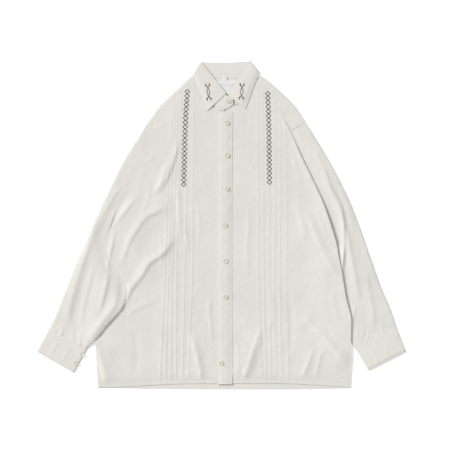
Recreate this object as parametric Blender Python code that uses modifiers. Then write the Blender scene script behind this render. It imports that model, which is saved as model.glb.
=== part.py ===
"""Embroidered long-sleeved shirt, buttoned and laid flat on its back.

X runs to the viewer's right across the body, Y towards the collar, Z up from the table.
The origin is on the table, in the middle of the shirt's outline. Tables are in millimetres.
"""

import math

import bmesh
import bpy

MM = 0.001
COLLECTION = "embroidered_shirt"
SPLINE_STEPS = 8

# Cloth walls and the layers they lie in
WALL = 1.2
LAYER_GAP = 0.5
LEVEL = WALL + LAYER_GAP
SEAM_GAP = 0.5
RAISED_LAYER = 2 * LEVEL + 0.1
FOLD_INSET = 2.0
MAX_LIFT = 3.4

# Centre front and placket
CENTRE_X = 9.0
PLACKET_TOP_Y = 276.0
PLACKET_BOTTOM_Y = -391.0
PLACKET_ROWS = 16
PLACKET_COLUMNS = (0.0, 0.06, 0.5, 0.94, 1.0)
PLACKET_CROWN = (0.0, 0.2, 0.2, 0.2, 0.0)
PLACKET_EDGES = (  # y, left_x, right_x
    (-391.0, -10.0, 27.0),
    (0.0, -12.0, 26.0),
    (276.0, -9.0, 28.0),
)

# Buttons
BUTTON_DIAMETER = 11.0
BUTTON_THICKNESS = 2.2
BUTTON_STEPS = 16
BUTTON_GAP = 0.3
BUTTON_PROFILE = (  # share of the radius, share of the thickness, from the dish's middle outwards
    (0.0, 0.77), (0.62, 0.77), (0.8, 1.0), (0.94, 0.93), (1.0, 0.6), (0.86, 0.0), (0.0, 0.0),
)
BUTTONS = (  # name, x, y, layer that carries it
    ("button_1", 14.0, 249.0, 2),
    ("button_2", 14.0, 170.0, 2),
    ("button_3", 14.0, 88.0, 2),
    ("button_4", 9.0, -1.0, 2),
    ("button_5", 10.0, -89.0, 2),
    ("button_6", 10.0, -177.0, 2),
    ("button_7", 0.0, -339.0, 2),
    ("button_collar", 17.0, 303.0, 2),
)
CUFF_BUTTONS = (  # name, x, y
    ("button_cuff_1", -341.0, -318.0),
    ("button_cuff_2", -356.0, -339.0),
)

# Labels inside the neck: name, left_x, right_x, low_y, high_y, underside_z, thickness
LABELS = (
    ("neck_label", -18.0, 38.0, 321.0, 343.0, 1.5, 0.8),
    ("size_tab", 1.0, 14.0, 351.0, 363.0, 3.2, 0.8),
)

# Side seams, hem to underarm, one row for each section of the body panels: x, y
SIDE_LEFT = (
    (-302.0, -393.0), (-304.0, -365.0), (-306.0, -337.0), (-307.0, -310.0), (-308.0, -283.0),
    (-301.0, -248.0), (-294.0, -214.0), (-287.0, -181.0), (-280.0, -148.0), (-274.0, -106.0),
    (-269.0, -65.0), (-269.6, -46.0), (-279.0, -29.0),
)
SIDE_RIGHT = (
    (318.0, -396.0), (318.0, -360.0), (318.0, -326.0), (318.0, -292.0), (318.0, -262.0),
    (318.0, -229.0), (311.5, -203.0), (305.0, -177.0), (299.5, -143.0), (294.0, -109.0),
    (288.0, -80.0), (282.7, -56.0), (281.0, -41.0),
)

# Armholes, shoulder point, yoke corner, then down to the underarm: x, y
SHOULDER_POINT_LEFT = (-182.0, 248.0)
SHOULDER_POINT_RIGHT = (207.0, 251.0)
ARMHOLE_LEFT = (
    (-162.0, 229.0), (-163.0, 205.0), (-174.0, 180.0), (-198.0, 143.0), (-228.0, 79.0),
    (-250.0, 41.0), (-279.0, -29.0),
)
ARMHOLE_RIGHT = (
    (169.0, 229.0), (183.0, 198.0), (197.0, 166.0), (219.0, 120.0), (244.0, 67.0),
    (260.0, 25.0), (281.0, -41.0),
)
BACK_ARMHOLE_LEFT = (
    (-182.0, 248.0), (-178.0, 182.0), (-192.0, 138.0), (-217.0, 100.0), (-236.0, 72.0),
    (-256.0, 36.0), (-279.0, -29.0),
)
BACK_ARMHOLE_RIGHT = (
    (207.0, 251.0), (200.0, 182.0), (209.0, 130.0), (230.0, 80.0), (256.0, 22.0), (281.0, -41.0),
)
ARMHOLE_STEPS = 10
BACK_ARMHOLE_STEPS = 12
YOKE_CORNER_STEPS = 2
BACK_YOKE_Y = 182.0
BACK_TOP_CLEAR = 8.0
BACK_TOP_ROWS = 8
BACK_COLUMNS = (
    0.0, 0.1, 0.2, 0.3, 0.4, 0.5, 0.6, 0.7, 0.8, 0.82, 0.84, 0.86, 0.88, 0.9, 0.92, 0.94, 0.96, 0.98, 1.0,
)

# Upper edge of each front: round the neck, then along the yoke seam: x, y
TOP_LEFT = (
    (9.0, 279.0), (-9.0, 284.0), (-22.0, 292.0), (-36.0, 305.0), (-48.0, 330.0), (-57.0, 354.0),
    (-81.0, 350.0), (-101.0, 326.0), (-125.0, 301.0), (-145.0, 273.0), (-162.0, 229.0),
)
TOP_RIGHT = (
    (9.0, 279.0), (28.0, 290.0), (42.0, 296.0), (58.0, 310.0), (70.0, 334.0), (80.0, 357.0),
    (97.0, 352.0), (107.0, 338.0), (119.0, 319.0), (136.0, 296.0), (147.0, 279.0), (157.0, 253.0),
    (169.0, 229.0),
)
HEM_FRONT = ((-302.0, -393.0), (-150.0, -388.0), (9.0, -391.0), (193.0, -393.0), (318.0, -396.0))
HEM_BACK = ((-302.0, -400.0), (-150.0, -403.0), (9.0, -404.0), (193.0, -404.0), (318.0, -401.0))
ROW_REFERENCE_TOP = 300.0
TOP_BOW_POWER = 6

# Pintucks, shoulder to hem: x at the yoke, at the chest, at the waist and at the hem
TUCK_HEIGHT = 1.0
TUCK_HALF_WIDTH = 1.8
TUCK_STATIONS_Y = (-356.0, -136.0, 60.0)
TUCK_FADE = 18.0
TUCKS_LEFT = (  # top, chest, waist, hem
    (-68.0, -70.0, -72.0, -81.0),
    (-83.0, -87.0, -90.0, -95.0),
    (-98.0, -105.0, -110.0, -111.0),
    (-106.0, -115.0, -122.0, -124.0),
    (-113.0, -123.0, -130.0, -137.0),
    (-120.0, -132.0, -139.0, -150.0),
)
TUCKS_RIGHT = (
    (89.0, 90.0, 91.0, 98.0),
    (101.0, 103.0, 104.0, 109.0),
    (116.0, 117.0, 117.0, 121.0),
    (131.0, 131.0, 130.0, 133.0),
    (144.0, 145.0, 143.0, 147.0),
    (156.0, 160.0, 160.0, 164.0),
)
PLAIN_LEFT = (8.7, -10.0, -28.0, -44.0, -58.0)
PLAIN_RIGHT = (9.3, 28.0, 44.0, 60.0, 75.0)
OUTER_LEFT = (0.14, 0.28, 0.42, 0.56, 0.69, 0.82, 1.0)
OUTER_RIGHT = (0.14, 0.28, 0.42, 0.52, 0.6, 0.68, 0.76, 0.84, 0.92, 1.0)

# Sleeves, armhole to cuff seam: outer_x, outer_y, bend_x, bend_y, inner_x, inner_y, push
SLEEVE_LEFT = (
    (-182.0, 248.0, -230.0, 74.0, -279.0, -29.0, 0.0),
    (-238.0, 159.0, -273.0, 19.0, -285.0, -62.0, 9.0),
    (-267.0, 100.0, -292.0, -20.0, -269.0, -98.0, 18.0),
    (-304.0, 23.0, -307.0, -55.0, -240.0, -132.0, 18.0),
    (-334.0, -45.0, -308.0, -95.0, -230.0, -165.0, 0.0),
    (-347.0, -75.0, -290.0, -141.0, -239.0, -200.0, 0.0),
    (-360.0, -104.0, -288.7, -180.7, -253.0, -219.0, 0.0),
    (-384.0, -165.0, -314.7, -220.3, -280.0, -248.0, 0.0),
    (-406.0, -222.0, -339.3, -261.3, -306.0, -281.0, 0.0),
    (-424.0, -258.0, -360.0, -289.3, -328.0, -305.0, 0.0),
)
SLEEVE_RIGHT = (
    (207.0, 251.0, 243.0, 70.0, 281.0, -41.0, 0.0),
    (254.0, 175.0, 277.5, 15.0, 285.5, -70.0, 8.0),
    (279.0, 130.0, 293.0, -10.0, 276.0, -106.0, 16.0),
    (313.0, 62.0, 307.0, -55.0, 270.0, -165.0, 14.0),
    (336.0, 4.0, 310.0, -88.0, 276.0, -192.0, 6.0),
    (349.0, -32.0, 308.0, -143.0, 284.0, -212.0, 0.0),
    (362.0, -69.0, 316.0, -177.7, 293.0, -232.0, 0.0),
    (391.0, -151.0, 332.3, -221.0, 303.0, -256.0, 0.0),
    (409.0, -197.0, 344.3, -249.0, 312.0, -275.0, 0.0),
    (422.0, -264.0, 354.7, -283.3, 321.0, -293.0, 0.0),
)
SLEEVE_COLUMNS = 13
FOLD_WALL_SHARE = 0.8
CAP_FADE = (1.0, 0.24, 0.08)
CAP_FADE_POWER = 3

# Cuffs, sleeve seam to open end: outer_x, outer_y, bend_x, bend_y, inner_x, inner_y, push
CUFF_LEFT = (
    (-424.2, -258.5, -360.2, -289.8, -328.2, -305.5, 0.0),
    (-439.0, -285.0, -376.3, -318.3, -345.0, -335.0, 0.0),
    (-453.0, -311.0, -391.7, -346.3, -361.0, -364.0, 0.0),
)
CUFF_RIGHT = (
    (422.1, -264.5, 354.8, -283.8, 321.1, -293.5, 0.0),
    (438.0, -289.0, 374.0, -313.7, 342.0, -326.0, 0.0),
    (453.0, -312.0, 391.7, -343.3, 361.0, -359.0, 0.0),
)
CUFF_COLUMNS = 7
BEND_SHARE = 2.0 / 3.0
CUFF_WALL_EXTRA = 0.4

# Yoke: outer shoulder line and front seam, neck to armhole: x, y
SHOULDER_LEFT = (
    (-75.0, 363.0), (-103.0, 336.0), (-125.0, 316.0), (-151.0, 291.0), (-170.0, 265.0), (-182.0, 248.0),
)
SHOULDER_RIGHT = (
    (99.0, 364.0), (122.0, 347.0), (161.0, 311.0), (185.0, 285.0), (196.0, 268.0), (207.0, 251.0),
)
STRIP_LEFT = (
    (-60.0, 356.5), (-82.0, 351.8), (-102.0, 327.2), (-126.0, 302.0), (-146.0, 273.6), (-163.0, 229.9),
)
STRIP_RIGHT = (
    (82.0, 359.5), (98.5, 354.0), (108.5, 339.0), (120.5, 320.2), (137.5, 297.2), (148.5, 280.0),
    (170.2, 230.0),
)
YOKE_ROWS = 10
YOKE_CORNER_LEFT = (-178.0, 182.0)
YOKE_CORNER_RIGHT = (200.0, 182.0)
YOKE_BACK_COLUMNS = 10
BACK_NECK = ((-60.0, 357.0), (9.0, 356.0), (82.0, 357.0))
LIP = 0.06
LIP_MIDDLE = 0.075
LIP_DEEP = 0.1

# Collar strips: section points along one edge and the other, front to back to front
COLLAR_SECTION = (0.0, 0.35, 0.7, 1.0)
FRONT_SIDE = 0.0
BACK_SIDE = 180.0
FOLD_AXIS_Z = 3.15
FALL_RADIUS = 2.55
STAND_RADIUS = 0.85
FALL_DROP = 0.8
DROP_START = 0.7
NECK_SIDES = ((-0.87, 0.49), (0.87, 0.49))
FALL_LEFT = (  # roll_x, roll_y, edge_x, edge_y
    (12.0, 322.0, -35.0, 278.0),
    (-4.0, 342.0, -44.0, 300.0),
    (-20.0, 362.0, -54.0, 322.0),
    (-35.0, 381.0, -62.0, 343.0),
    (-48.0, 398.0, -69.0, 363.0),
)
FALL_RIGHT = (
    (69.0, 400.0, 92.0, 369.0),
    (58.0, 384.0, 84.0, 349.0),
    (44.0, 363.0, 76.0, 328.0),
    (29.0, 341.0, 68.0, 306.0),
    (14.5, 319.5, 59.0, 282.0),
)
FALL_BACK = (
    (-48.0, 398.0, -69.0, 363.0),
    (-18.0, 397.0, -24.0, 361.5),
    (9.0, 396.5, 9.0, 361.0),
    (38.0, 398.0, 44.0, 361.5),
    (69.0, 400.0, 92.0, 369.0),
)
STAND_LEFT = (
    (28.0, 311.0, 29.0, 293.0),
    (13.0, 317.0, 14.0, 284.0),
    (1.0, 329.0, -3.0, 280.0),
    (-14.0, 349.0, -20.0, 292.0),
    (-30.0, 370.0, -37.0, 308.0),
    (-42.0, 388.0, -49.0, 336.0),
    (-46.0, 395.0, -56.0, 358.0),
)
STAND_BACK = (
    (-46.0, 395.0, -56.0, 358.0),
    (-18.0, 394.5, -22.0, 358.8),
    (9.0, 394.0, 9.0, 358.5),
    (38.0, 395.0, 42.0, 358.8),
    (66.0, 396.0, 77.0, 360.0),
)
STAND_RIGHT = (
    (66.0, 396.0, 77.0, 360.0),
    (61.0, 387.0, 70.0, 337.0),
    (50.0, 368.0, 60.0, 313.0),
    (38.0, 348.0, 47.0, 299.0),
    (33.0, 335.0, 33.5, 294.0),
)
FOLD_ANGLES = (45.0, 90.0, 135.0)

# Folds lying in the fronts: height, half_width, then points x, y along the crest
FRONT_FOLDS = (
    (3.0, 15.0, ((-196.0, -118.0), (-172.0, -88.0), (-132.0, -44.0))),
    (1.9, 13.0, ((-262.0, -2.0), (-240.0, 22.0), (-204.0, 66.0))),
    (2.4, 14.0, ((-214.0, -60.0), (-210.0, -14.0), (-182.0, 26.0), (-140.0, 46.0))),
    (1.8, 10.0, ((-158.0, 78.0), (-132.0, 134.0))),
    (2.6, 14.0, ((-284.0, -306.0), (-270.0, -384.0))),
    (2.4, 11.0, ((-66.0, -290.0), (-52.0, -380.0))),
    (2.6, 13.0, ((78.0, -268.0), (48.0, -380.0))),
    (2.0, 12.0, ((200.0, -230.0), (262.0, -292.0), (306.0, -330.0))),
    (1.6, 11.0, ((238.0, -270.0), (296.0, -345.0))),
    (2.6, 15.0, ((202.0, 14.0), (238.0, -70.0), (262.0, -108.0))),
    (1.5, 12.0, ((214.0, -326.0), (200.0, -372.0))),
)
ARM_EDGE_LIFT = 2.4
ARM_EDGE_WIDTH = 12.0

# Folds lying in the sleeves: height, half_width, then points x, y along the crest
SLEEVE_FOLDS = (
    (2.4, 11.0, ((-276.0, -62.0), (-292.0, -148.0), (-310.0, -214.0))),
    (2.8, 13.0, ((-246.0, -120.0), (-246.0, -180.0), (-290.0, -238.0), (-318.0, -274.0))),
    (1.6, 16.0, ((-300.0, -10.0), (-344.0, -120.0), (-380.0, -205.0))),
    (2.4, 9.0, ((247.0, 131.0), (266.0, 84.0), (287.0, 44.0), (296.0, 6.0), (297.0, -60.0))),
    (2.2, 11.0, ((310.0, -20.0), (332.0, -120.0), (340.0, -190.0))),
    (1.5, 10.0, ((366.0, -180.0), (372.0, -250.0))),
    (1.8, 8.0, ((336.0, -215.0), (336.0, -268.0))),
)

# Keep folds away from what lies on or under the cloth
PLACKET_CLEAR = 22.0
PLACKET_BLEND = 16.0
UNDER_SLEEVE_CLEAR = 26.0
UNDER_SLEEVE_BLEND = 22.0
COLLAR_CLEAR_Y = 250.0
COLLAR_BLEND = 30.0
ARMHOLE_CLEAR_TOP = 90.0
ARMHOLE_CLEAR = 6.0
ARMHOLE_BLEND = 16.0
UNDER_BODY_CLEAR = 8.0
UNDER_BODY_BLEND = 16.0

# Where one part climbs over the other: sideways ramp, then the heights it starts and ends at
EDGE_REACH = 13.0
BODY_RAMP = 60.0
BODY_TOP_Y = 110.0
BODY_TOP_RAMP = 100.0
BODY_LOW_Y = -345.0
BODY_LOW_RAMP = 42.0
SLEEVE_RAMP = 45.0
SLEEVE_TOP_Y = 88.0
SLEEVE_TOP_RAMP = 85.0
SLEEVE_LOW_Y = -305.0
SLEEVE_LOW_RAMP = 22.0

MATERIALS = {  # name: colour, roughness
    "shirt_cloth": ((0.80, 0.79, 0.75, 1.0), 0.85),
    "collar_cloth": ((0.82, 0.81, 0.77, 1.0), 0.85),
    "label_cloth": ((0.86, 0.86, 0.85, 1.0), 0.7),
    "button_resin": ((0.74, 0.70, 0.58, 1.0), 0.35),
}


def clear_scene():
    for item in list(bpy.data.objects):
        bpy.data.objects.remove(item, do_unlink=True)


def smooth(value):
    value = min(1.0, max(0.0, value))
    return value * value * (3.0 - 2.0 * value)


def mix(a, b, t):
    return tuple(p + (q - p) * t for p, q in zip(a, b))


def along(points, fraction):
    """Point on a polyline at a fraction of its length."""
    lengths = [math.dist(a, b) for a, b in zip(points, points[1:])]
    left = fraction * sum(lengths)
    for a, b, length in zip(points, points[1:], lengths):
        if left <= length:
            return mix(a, b, left / length)
        left -= length
    return points[-1]


def spline(points):
    """Close points on a smooth curve through the table's points."""
    ends = [mix(points[1], points[0], 2.0)] + list(points) + [mix(points[-2], points[-1], 2.0)]
    fine = []
    for p0, p1, p2, p3 in zip(ends, ends[1:], ends[2:], ends[3:]):
        for k in range(SPLINE_STEPS):
            t = k / SPLINE_STEPS
            fine.append(tuple(
                0.5 * (2 * b + (c - a) * t + (2 * a - 5 * b + 4 * c - d) * t * t
                       + (3 * b - a - 3 * c + d) * t ** 3)
                for a, b, c, d in zip(p0, p1, p2, p3)))
    fine.append(tuple(points[-1]))
    return fine


def curve(points, steps):
    """Evenly spaced points on a smooth curve through the table's points."""
    fine = spline(points)
    return [along(fine, k / steps) for k in range(steps + 1)]


def bent(section, steps):
    """Points of a sleeve section, from its outer edge past the bend, pushed out, to its inner edge."""
    outer, bend, inner, push = section[:2], section[2:4], section[4:6], section[6]
    away = math.copysign(push / math.dist(bend, inner), outer[0])
    elbow = mix(bend, inner, 0.5)
    elbow = (elbow[0] + (bend[1] - inner[1]) * away, elbow[1] + (inner[0] - bend[0]) * away)
    fine = spline((outer, bend, elbow, inner))
    head = round(steps * BEND_SHARE)
    tail = steps - head
    points = [along(fine[:SPLINE_STEPS + 1], k / head) for k in range(head)]
    return points + [along(fine[SPLINE_STEPS:], k / tail) for k in range(tail + 1)]


def at_x(table, x):
    """Height of a table's line over x, whichever way x runs."""
    rows = sorted(table)
    if x <= rows[0][0]:
        return rows[0][1]
    for (x0, y0), (x1, y1) in zip(rows, rows[1:]):
        if x <= x1:
            return y0 + (y1 - y0) * (x - x0) / max(x1 - x0, 1e-9)
    return rows[-1][1]


def at_y(table, y):
    """Sideways place of a table's line at a height y."""
    return at_x([(row[1], row[0]) for row in table], y)


def distance(point, line):
    best = 1e9
    for a, b in zip(line, line[1:]):
        span = (b[0] - a[0], b[1] - a[1])
        t = ((point[0] - a[0]) * span[0] + (point[1] - a[1]) * span[1]) / (span[0] ** 2 + span[1] ** 2)
        best = min(best, math.dist(point, mix(a, b, min(1.0, max(0.0, t)))))
    return best


INNER_LEFT = [row[4:6] for row in SLEEVE_LEFT]
INNER_RIGHT = [row[4:6] for row in SLEEVE_RIGHT]


def folds(x, y, table):
    return sum(height * math.exp(-(distance((x, y), line) / width) ** 2) for height, width, line in table)


def front_lift(x, y):
    """How far a front panel stands off the layer under it."""
    lift = folds(x, y, FRONT_FOLDS)
    if x > CENTRE_X:
        edge = list(ARMHOLE_RIGHT[1:]) + list(reversed(SIDE_RIGHT[5:-1]))
        lift += ARM_EDGE_LIFT * math.exp(-(distance((x, y), edge) / ARM_EDGE_WIDTH) ** 2)
    lift = min(lift, MAX_LIFT)
    lift *= smooth((abs(x - CENTRE_X) - PLACKET_CLEAR) / PLACKET_BLEND)
    if y > COLLAR_CLEAR_Y:
        lift *= smooth(1.0 - (y - COLLAR_CLEAR_Y) / COLLAR_BLEND)
    if x < CENTRE_X and INNER_LEFT[-1][1] < y < INNER_LEFT[0][1]:
        lift *= smooth((x - at_y(INNER_LEFT, y) - UNDER_SLEEVE_CLEAR) / UNDER_SLEEVE_BLEND)
    if x < CENTRE_X and INNER_LEFT[0][1] <= y < ARMHOLE_CLEAR_TOP:
        lift *= smooth((x - at_y(ARMHOLE_LEFT, y) - ARMHOLE_CLEAR) / ARMHOLE_BLEND)
    return lift


def body_base(x, y):
    """The right side of the body lies over the right sleeve's inner edge."""
    reach = smooth((x - at_y(INNER_RIGHT, y) + EDGE_REACH + BODY_RAMP) / BODY_RAMP)
    span = smooth((BODY_TOP_Y - y) / BODY_TOP_RAMP) * smooth((y - BODY_LOW_Y) / BODY_LOW_RAMP)
    return RAISED_LAYER * reach * span


def sleeve_base(x, y):
    """The left sleeve's inner edge lies over the left side of the body."""
    if x > CENTRE_X:
        return 0.0
    reach = smooth((x - at_y(SIDE_LEFT, y) + EDGE_REACH + SLEEVE_RAMP) / SLEEVE_RAMP)
    span = smooth((SLEEVE_TOP_Y - y) / SLEEVE_TOP_RAMP) * smooth((y - SLEEVE_LOW_Y) / SLEEVE_LOW_RAMP)
    return RAISED_LAYER * reach * span


def sleeve_lift(x, y):
    lift = min(MAX_LIFT, folds(x, y, SLEEVE_FOLDS))
    if x > CENTRE_X and y < SIDE_RIGHT[-1][1]:
        lift *= smooth((x - at_y(SIDE_RIGHT, y) - UNDER_BODY_CLEAR) / UNDER_BODY_BLEND)
    return lift


def add_wall(name, material, outer, inner, closed=False):
    """Close the space between two grids of points, row by row, into one solid wall."""
    rows, columns = len(outer), len(outer[0])
    mesh = bmesh.new()
    skins = [[[mesh.verts.new([c * MM for c in point]) for point in row] for row in grid] for grid in (outer, inner)]
    last = columns if closed else columns - 1
    for skin in skins:
        for i in range(rows - 1):
            for j in range(last):
                k = (j + 1) % columns
                mesh.faces.new((skin[i][j], skin[i][k], skin[i + 1][k], skin[i + 1][j]))
    for i in (0, rows - 1):
        for j in range(last):
            k = (j + 1) % columns
            mesh.faces.new((skins[0][i][j], skins[0][i][k], skins[1][i][k], skins[1][i][j]))
    if not closed:
        for j in (0, columns - 1):
            for i in range(rows - 1):
                mesh.faces.new((skins[0][i][j], skins[0][i + 1][j], skins[1][i + 1][j], skins[1][i][j]))
    bmesh.ops.recalc_face_normals(mesh, faces=mesh.faces)
    return add_object(name, material, mesh)


def add_object(name, material, mesh):
    data = bpy.data.meshes.new(name)
    mesh.to_mesh(data)
    mesh.free()
    data.materials.append(bpy.data.materials[material])
    data.shade_smooth()
    data.set_sharp_from_angle(angle=math.radians(50.0))
    item = bpy.data.objects.new(name, data)
    bpy.data.collections[COLLECTION].objects.link(item)
    return item


def make_materials():
    for name, (colour, roughness) in MATERIALS.items():
        material = bpy.data.materials.new(name)
        material.use_nodes = True
        shader = material.node_tree.nodes["Principled BSDF"]
        shader.inputs["Base Color"].default_value = colour
        shader.inputs["Roughness"].default_value = roughness
        shader.inputs["Metallic"].default_value = 0.0
        material.diffuse_color = colour


def column_x(stations, y, y_top):
    """Sideways place of a panel's column at height y: top, chest, waist and hem values."""
    top, chest, waist, hem = stations
    low, mid, high = TUCK_STATIONS_Y
    return at_y(((hem, low), (waist, mid), (chest, high), (top, y_top)), y)


def front_panel(name, side, armhole, top_line, plain, tucks, outer_fractions):
    """One front: plain columns by the placket, pintucks, then columns out to the side seam."""
    sign = 1.0 if side[0][0] > 0 else -1.0
    edge = list(side) + list(reversed(armhole))[1:]
    count = len(side)
    split = (side[-1][1] - side[0][1]) / (ROW_REFERENCE_TOP - side[0][1])
    steps = [(p[1] - side[0][1]) / (ROW_REFERENCE_TOP - side[0][1]) for p in side]
    steps += [split + (1.0 - split) * k / (len(edge) - count) for k in range(1, len(edge) - count + 1)]
    columns = [((x, x, x, x), 0.0) for x in plain]
    for tuck in tucks:
        columns += [(tuple(x - sign * TUCK_HALF_WIDTH for x in tuck), 0.0), (tuck, TUCK_HEIGHT),
                    (tuple(x + sign * TUCK_HALF_WIDTH for x in tuck), 0.0)]
    last = columns[-1][0]
    outer, inner = [], []
    for row, step in enumerate(steps):
        points = []
        for stations, rise in columns:
            y_top = at_x(top_line, stations[0])
            y = at_x(HEM_FRONT, stations[3])
            y += step * (y_top - y)
            fade = smooth((y_top - y) / TUCK_FADE)
            points.append((column_x(stations, y, y_top), y, rise * fade))
        start = points[-1]
        line = [(last[0], at_x(top_line, last[0]))]
        line += [p for p in top_line if abs(p[0]) > abs(last[0])]
        for fraction in outer_fractions:
            x, y = mix(start[:2], edge[row], fraction)
            chord = mix(line[0], line[-1], fraction)
            bow = along(line, fraction)
            weight = step ** TOP_BOW_POWER
            points.append((x + (bow[0] - chord[0]) * weight, y + (bow[1] - chord[1]) * weight, 0.0))
        outer.append([])
        inner.append([])
        for x, y, rise in points:
            base = LEVEL + front_lift(x, y) + (body_base(x, y) if sign > 0 else 0.0)
            outer[-1].append((x, y, base + WALL + rise))
            inner[-1].append((x, y, base))
    return add_wall(name, "shirt_cloth", outer, inner)


def make_fronts(armhole_left, armhole_right):
    front_panel("front_left", SIDE_LEFT, armhole_left, TOP_LEFT, PLAIN_LEFT, TUCKS_LEFT, OUTER_LEFT)
    front_panel("front_right", SIDE_RIGHT, armhole_right, TOP_RIGHT, PLAIN_RIGHT, TUCKS_RIGHT, OUTER_RIGHT)


def make_back():
    """Back panel, hem to yoke seam, flat on the table but for the strip over the right sleeve."""
    def edge(side, armhole, corner_y):
        upper = list(reversed(curve(armhole, BACK_ARMHOLE_STEPS)))[1:]
        kept = [p for p in upper if p[1] < corner_y - BACK_TOP_CLEAR]
        return list(side) + kept[:BACK_TOP_ROWS] + [(at_y(armhole, corner_y), corner_y - SEAM_GAP)]
    left = edge(SIDE_LEFT, BACK_ARMHOLE_LEFT, BACK_YOKE_Y)
    right = edge(SIDE_RIGHT, BACK_ARMHOLE_RIGHT, BACK_YOKE_Y)
    outer, inner = [], []
    for row, (a, b) in enumerate(zip(left, right)):
        outer.append([])
        inner.append([])
        for fraction in BACK_COLUMNS:
            x, y = mix(a, b, fraction)
            if row == 0:
                y = at_x(HEM_BACK, x)
            base = body_base(x, y)
            outer[-1].append((x, y, base))
            inner[-1].append((x, y, base + WALL))
    return add_wall("back", "shirt_cloth", outer, inner)


def make_placket():
    outer, inner = [], []
    base = 2 * LEVEL
    for k in range(PLACKET_ROWS + 1):
        y = PLACKET_BOTTOM_Y + (PLACKET_TOP_Y - PLACKET_BOTTOM_Y) * k / PLACKET_ROWS
        left = at_x([(row[0], row[1]) for row in PLACKET_EDGES], y)
        right = at_x([(row[0], row[2]) for row in PLACKET_EDGES], y)
        columns = [mix((left, y), (right, y), fraction) for fraction in PLACKET_COLUMNS]
        top = base + WALL - max(PLACKET_CROWN)
        outer.append([(x, y, top + rise) for (x, y), rise in zip(columns, PLACKET_CROWN)])
        inner.append([(x, y, base) for x, y in columns])
    return add_wall("placket", "shirt_cloth", outer, inner)


def inset_point(line, k, away):
    """A point just inside a fold line, square to it; away is 1 where inside means away from the body."""
    before, after = line[max(0, k - 1)], line[min(len(line) - 1, k + 1)]
    span = math.dist(before, after)
    across = ((before[1] - after[1]) / span, (after[0] - before[0]) / span)
    x, y = line[k]
    step = math.copysign(FOLD_INSET, across[0] * x * away)
    return (x + across[0] * step, y + across[1] * step)


def cap_point(cap, k):
    """A point of the seam line, its two ends drawn in from the fold lines."""
    if 0 < k < len(cap) - 1:
        return cap[k]
    beside = cap[1] if k == 0 else cap[-2]
    return mix(cap[k], beside, FOLD_INSET / math.dist(cap[k], beside))


def flat_tube(name, material, sections, columns, cap_top=None, cap_back=None, wall=WALL, lift=sleeve_lift):
    """A tube pressed flat: each ring runs over the top from its outer edge, then back underneath."""
    outer, inner = [], []
    gap = LEVEL - WALL
    first = curve((sections[0][:2], sections[0][4:6]), columns - 1)
    for row, section in enumerate(sections):
        a, b = section[:2], section[4:6]
        path = bent(section, columns - 1)
        path[0] = inset_point([item[:2] for item in sections], row, -1.0)
        path[-1] = inset_point([item[4:6] for item in sections], row, 1.0)
        weight = CAP_FADE[row] if cap_top and row < len(CAP_FADE) else 0.0
        upper, lower = [], []
        for k, (x, y) in enumerate(path):
            for side, cap in ((upper, cap_top), (lower, cap_back)):
                if row == 0 and cap:
                    side.append(cap_point(cap, k))
                    continue
                share = weight * (1.0 - (k / (columns - 1)) ** CAP_FADE_POWER)
                bow = cap[k] if cap else first[k]
                side.append((x + (bow[0] - first[k][0]) * share, y + (bow[1] - first[k][1]) * share))
        ends = [a, b]
        ring_out, ring_in = [], []
        for x, y in upper:
            base = sleeve_base(x, y) + wall + gap + lift(x, y)
            ring_out.append((x, y, base + wall))
            ring_in.append((x, y, base))
        x, y = ends[1]
        middle = sleeve_base(x, y) + wall + gap / 2.0 + 0.5 * lift(x, y)
        ring_out.append((x, y, middle))
        ring_in.append((*mix(ends[1], upper[-1], FOLD_WALL_SHARE), middle))
        for x, y in reversed(lower):
            ring_out.append((x, y, sleeve_base(x, y)))
            ring_in.append((x, y, sleeve_base(x, y) + wall))
        x, y = ends[0]
        middle = sleeve_base(x, y) + wall + gap / 2.0 + 0.5 * lift(x, y)
        ring_out.append((x, y, middle))
        ring_in.append((*mix(ends[0], upper[0], FOLD_WALL_SHARE), middle))
        outer.append(ring_out)
        inner.append(ring_in)
    return add_wall(name, material, outer, inner, closed=True)


def shifted(line, sign, amount):
    """The same line moved sideways, away from the body, for a seam gap."""
    moved = []
    for k, (x, y) in enumerate(line):
        before, after = line[max(0, k - 1)], line[min(len(line) - 1, k + 1)]
        span = math.dist(before, after)
        moved.append((x - sign * (after[1] - before[1]) / span * amount,
                      y + sign * (after[0] - before[0]) / span * amount))
    return moved


def make_sleeve(name, sections, shoulder, armhole, back_armhole):
    sign = 1.0 if shoulder[0] > CENTRE_X else -1.0
    top = [mix(shoulder, armhole[0], k / YOKE_CORNER_STEPS) for k in range(YOKE_CORNER_STEPS)] + list(armhole)
    top = shifted(top, sign, SEAM_GAP)
    back = shifted(curve(back_armhole, BACK_ARMHOLE_STEPS), sign, 3 * SEAM_GAP)
    rows = [(*top[0], *sections[0][2:4], *top[-1], 0.0)] + list(sections[1:])
    return flat_tube(name, "shirt_cloth", rows, SLEEVE_COLUMNS, top, back)


def make_cuff(name, sections):
    wall = WALL + CUFF_WALL_EXTRA
    return flat_tube(name, "collar_cloth", sections, CUFF_COLUMNS, wall=wall, lift=lambda x, y: 0.0)


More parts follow.
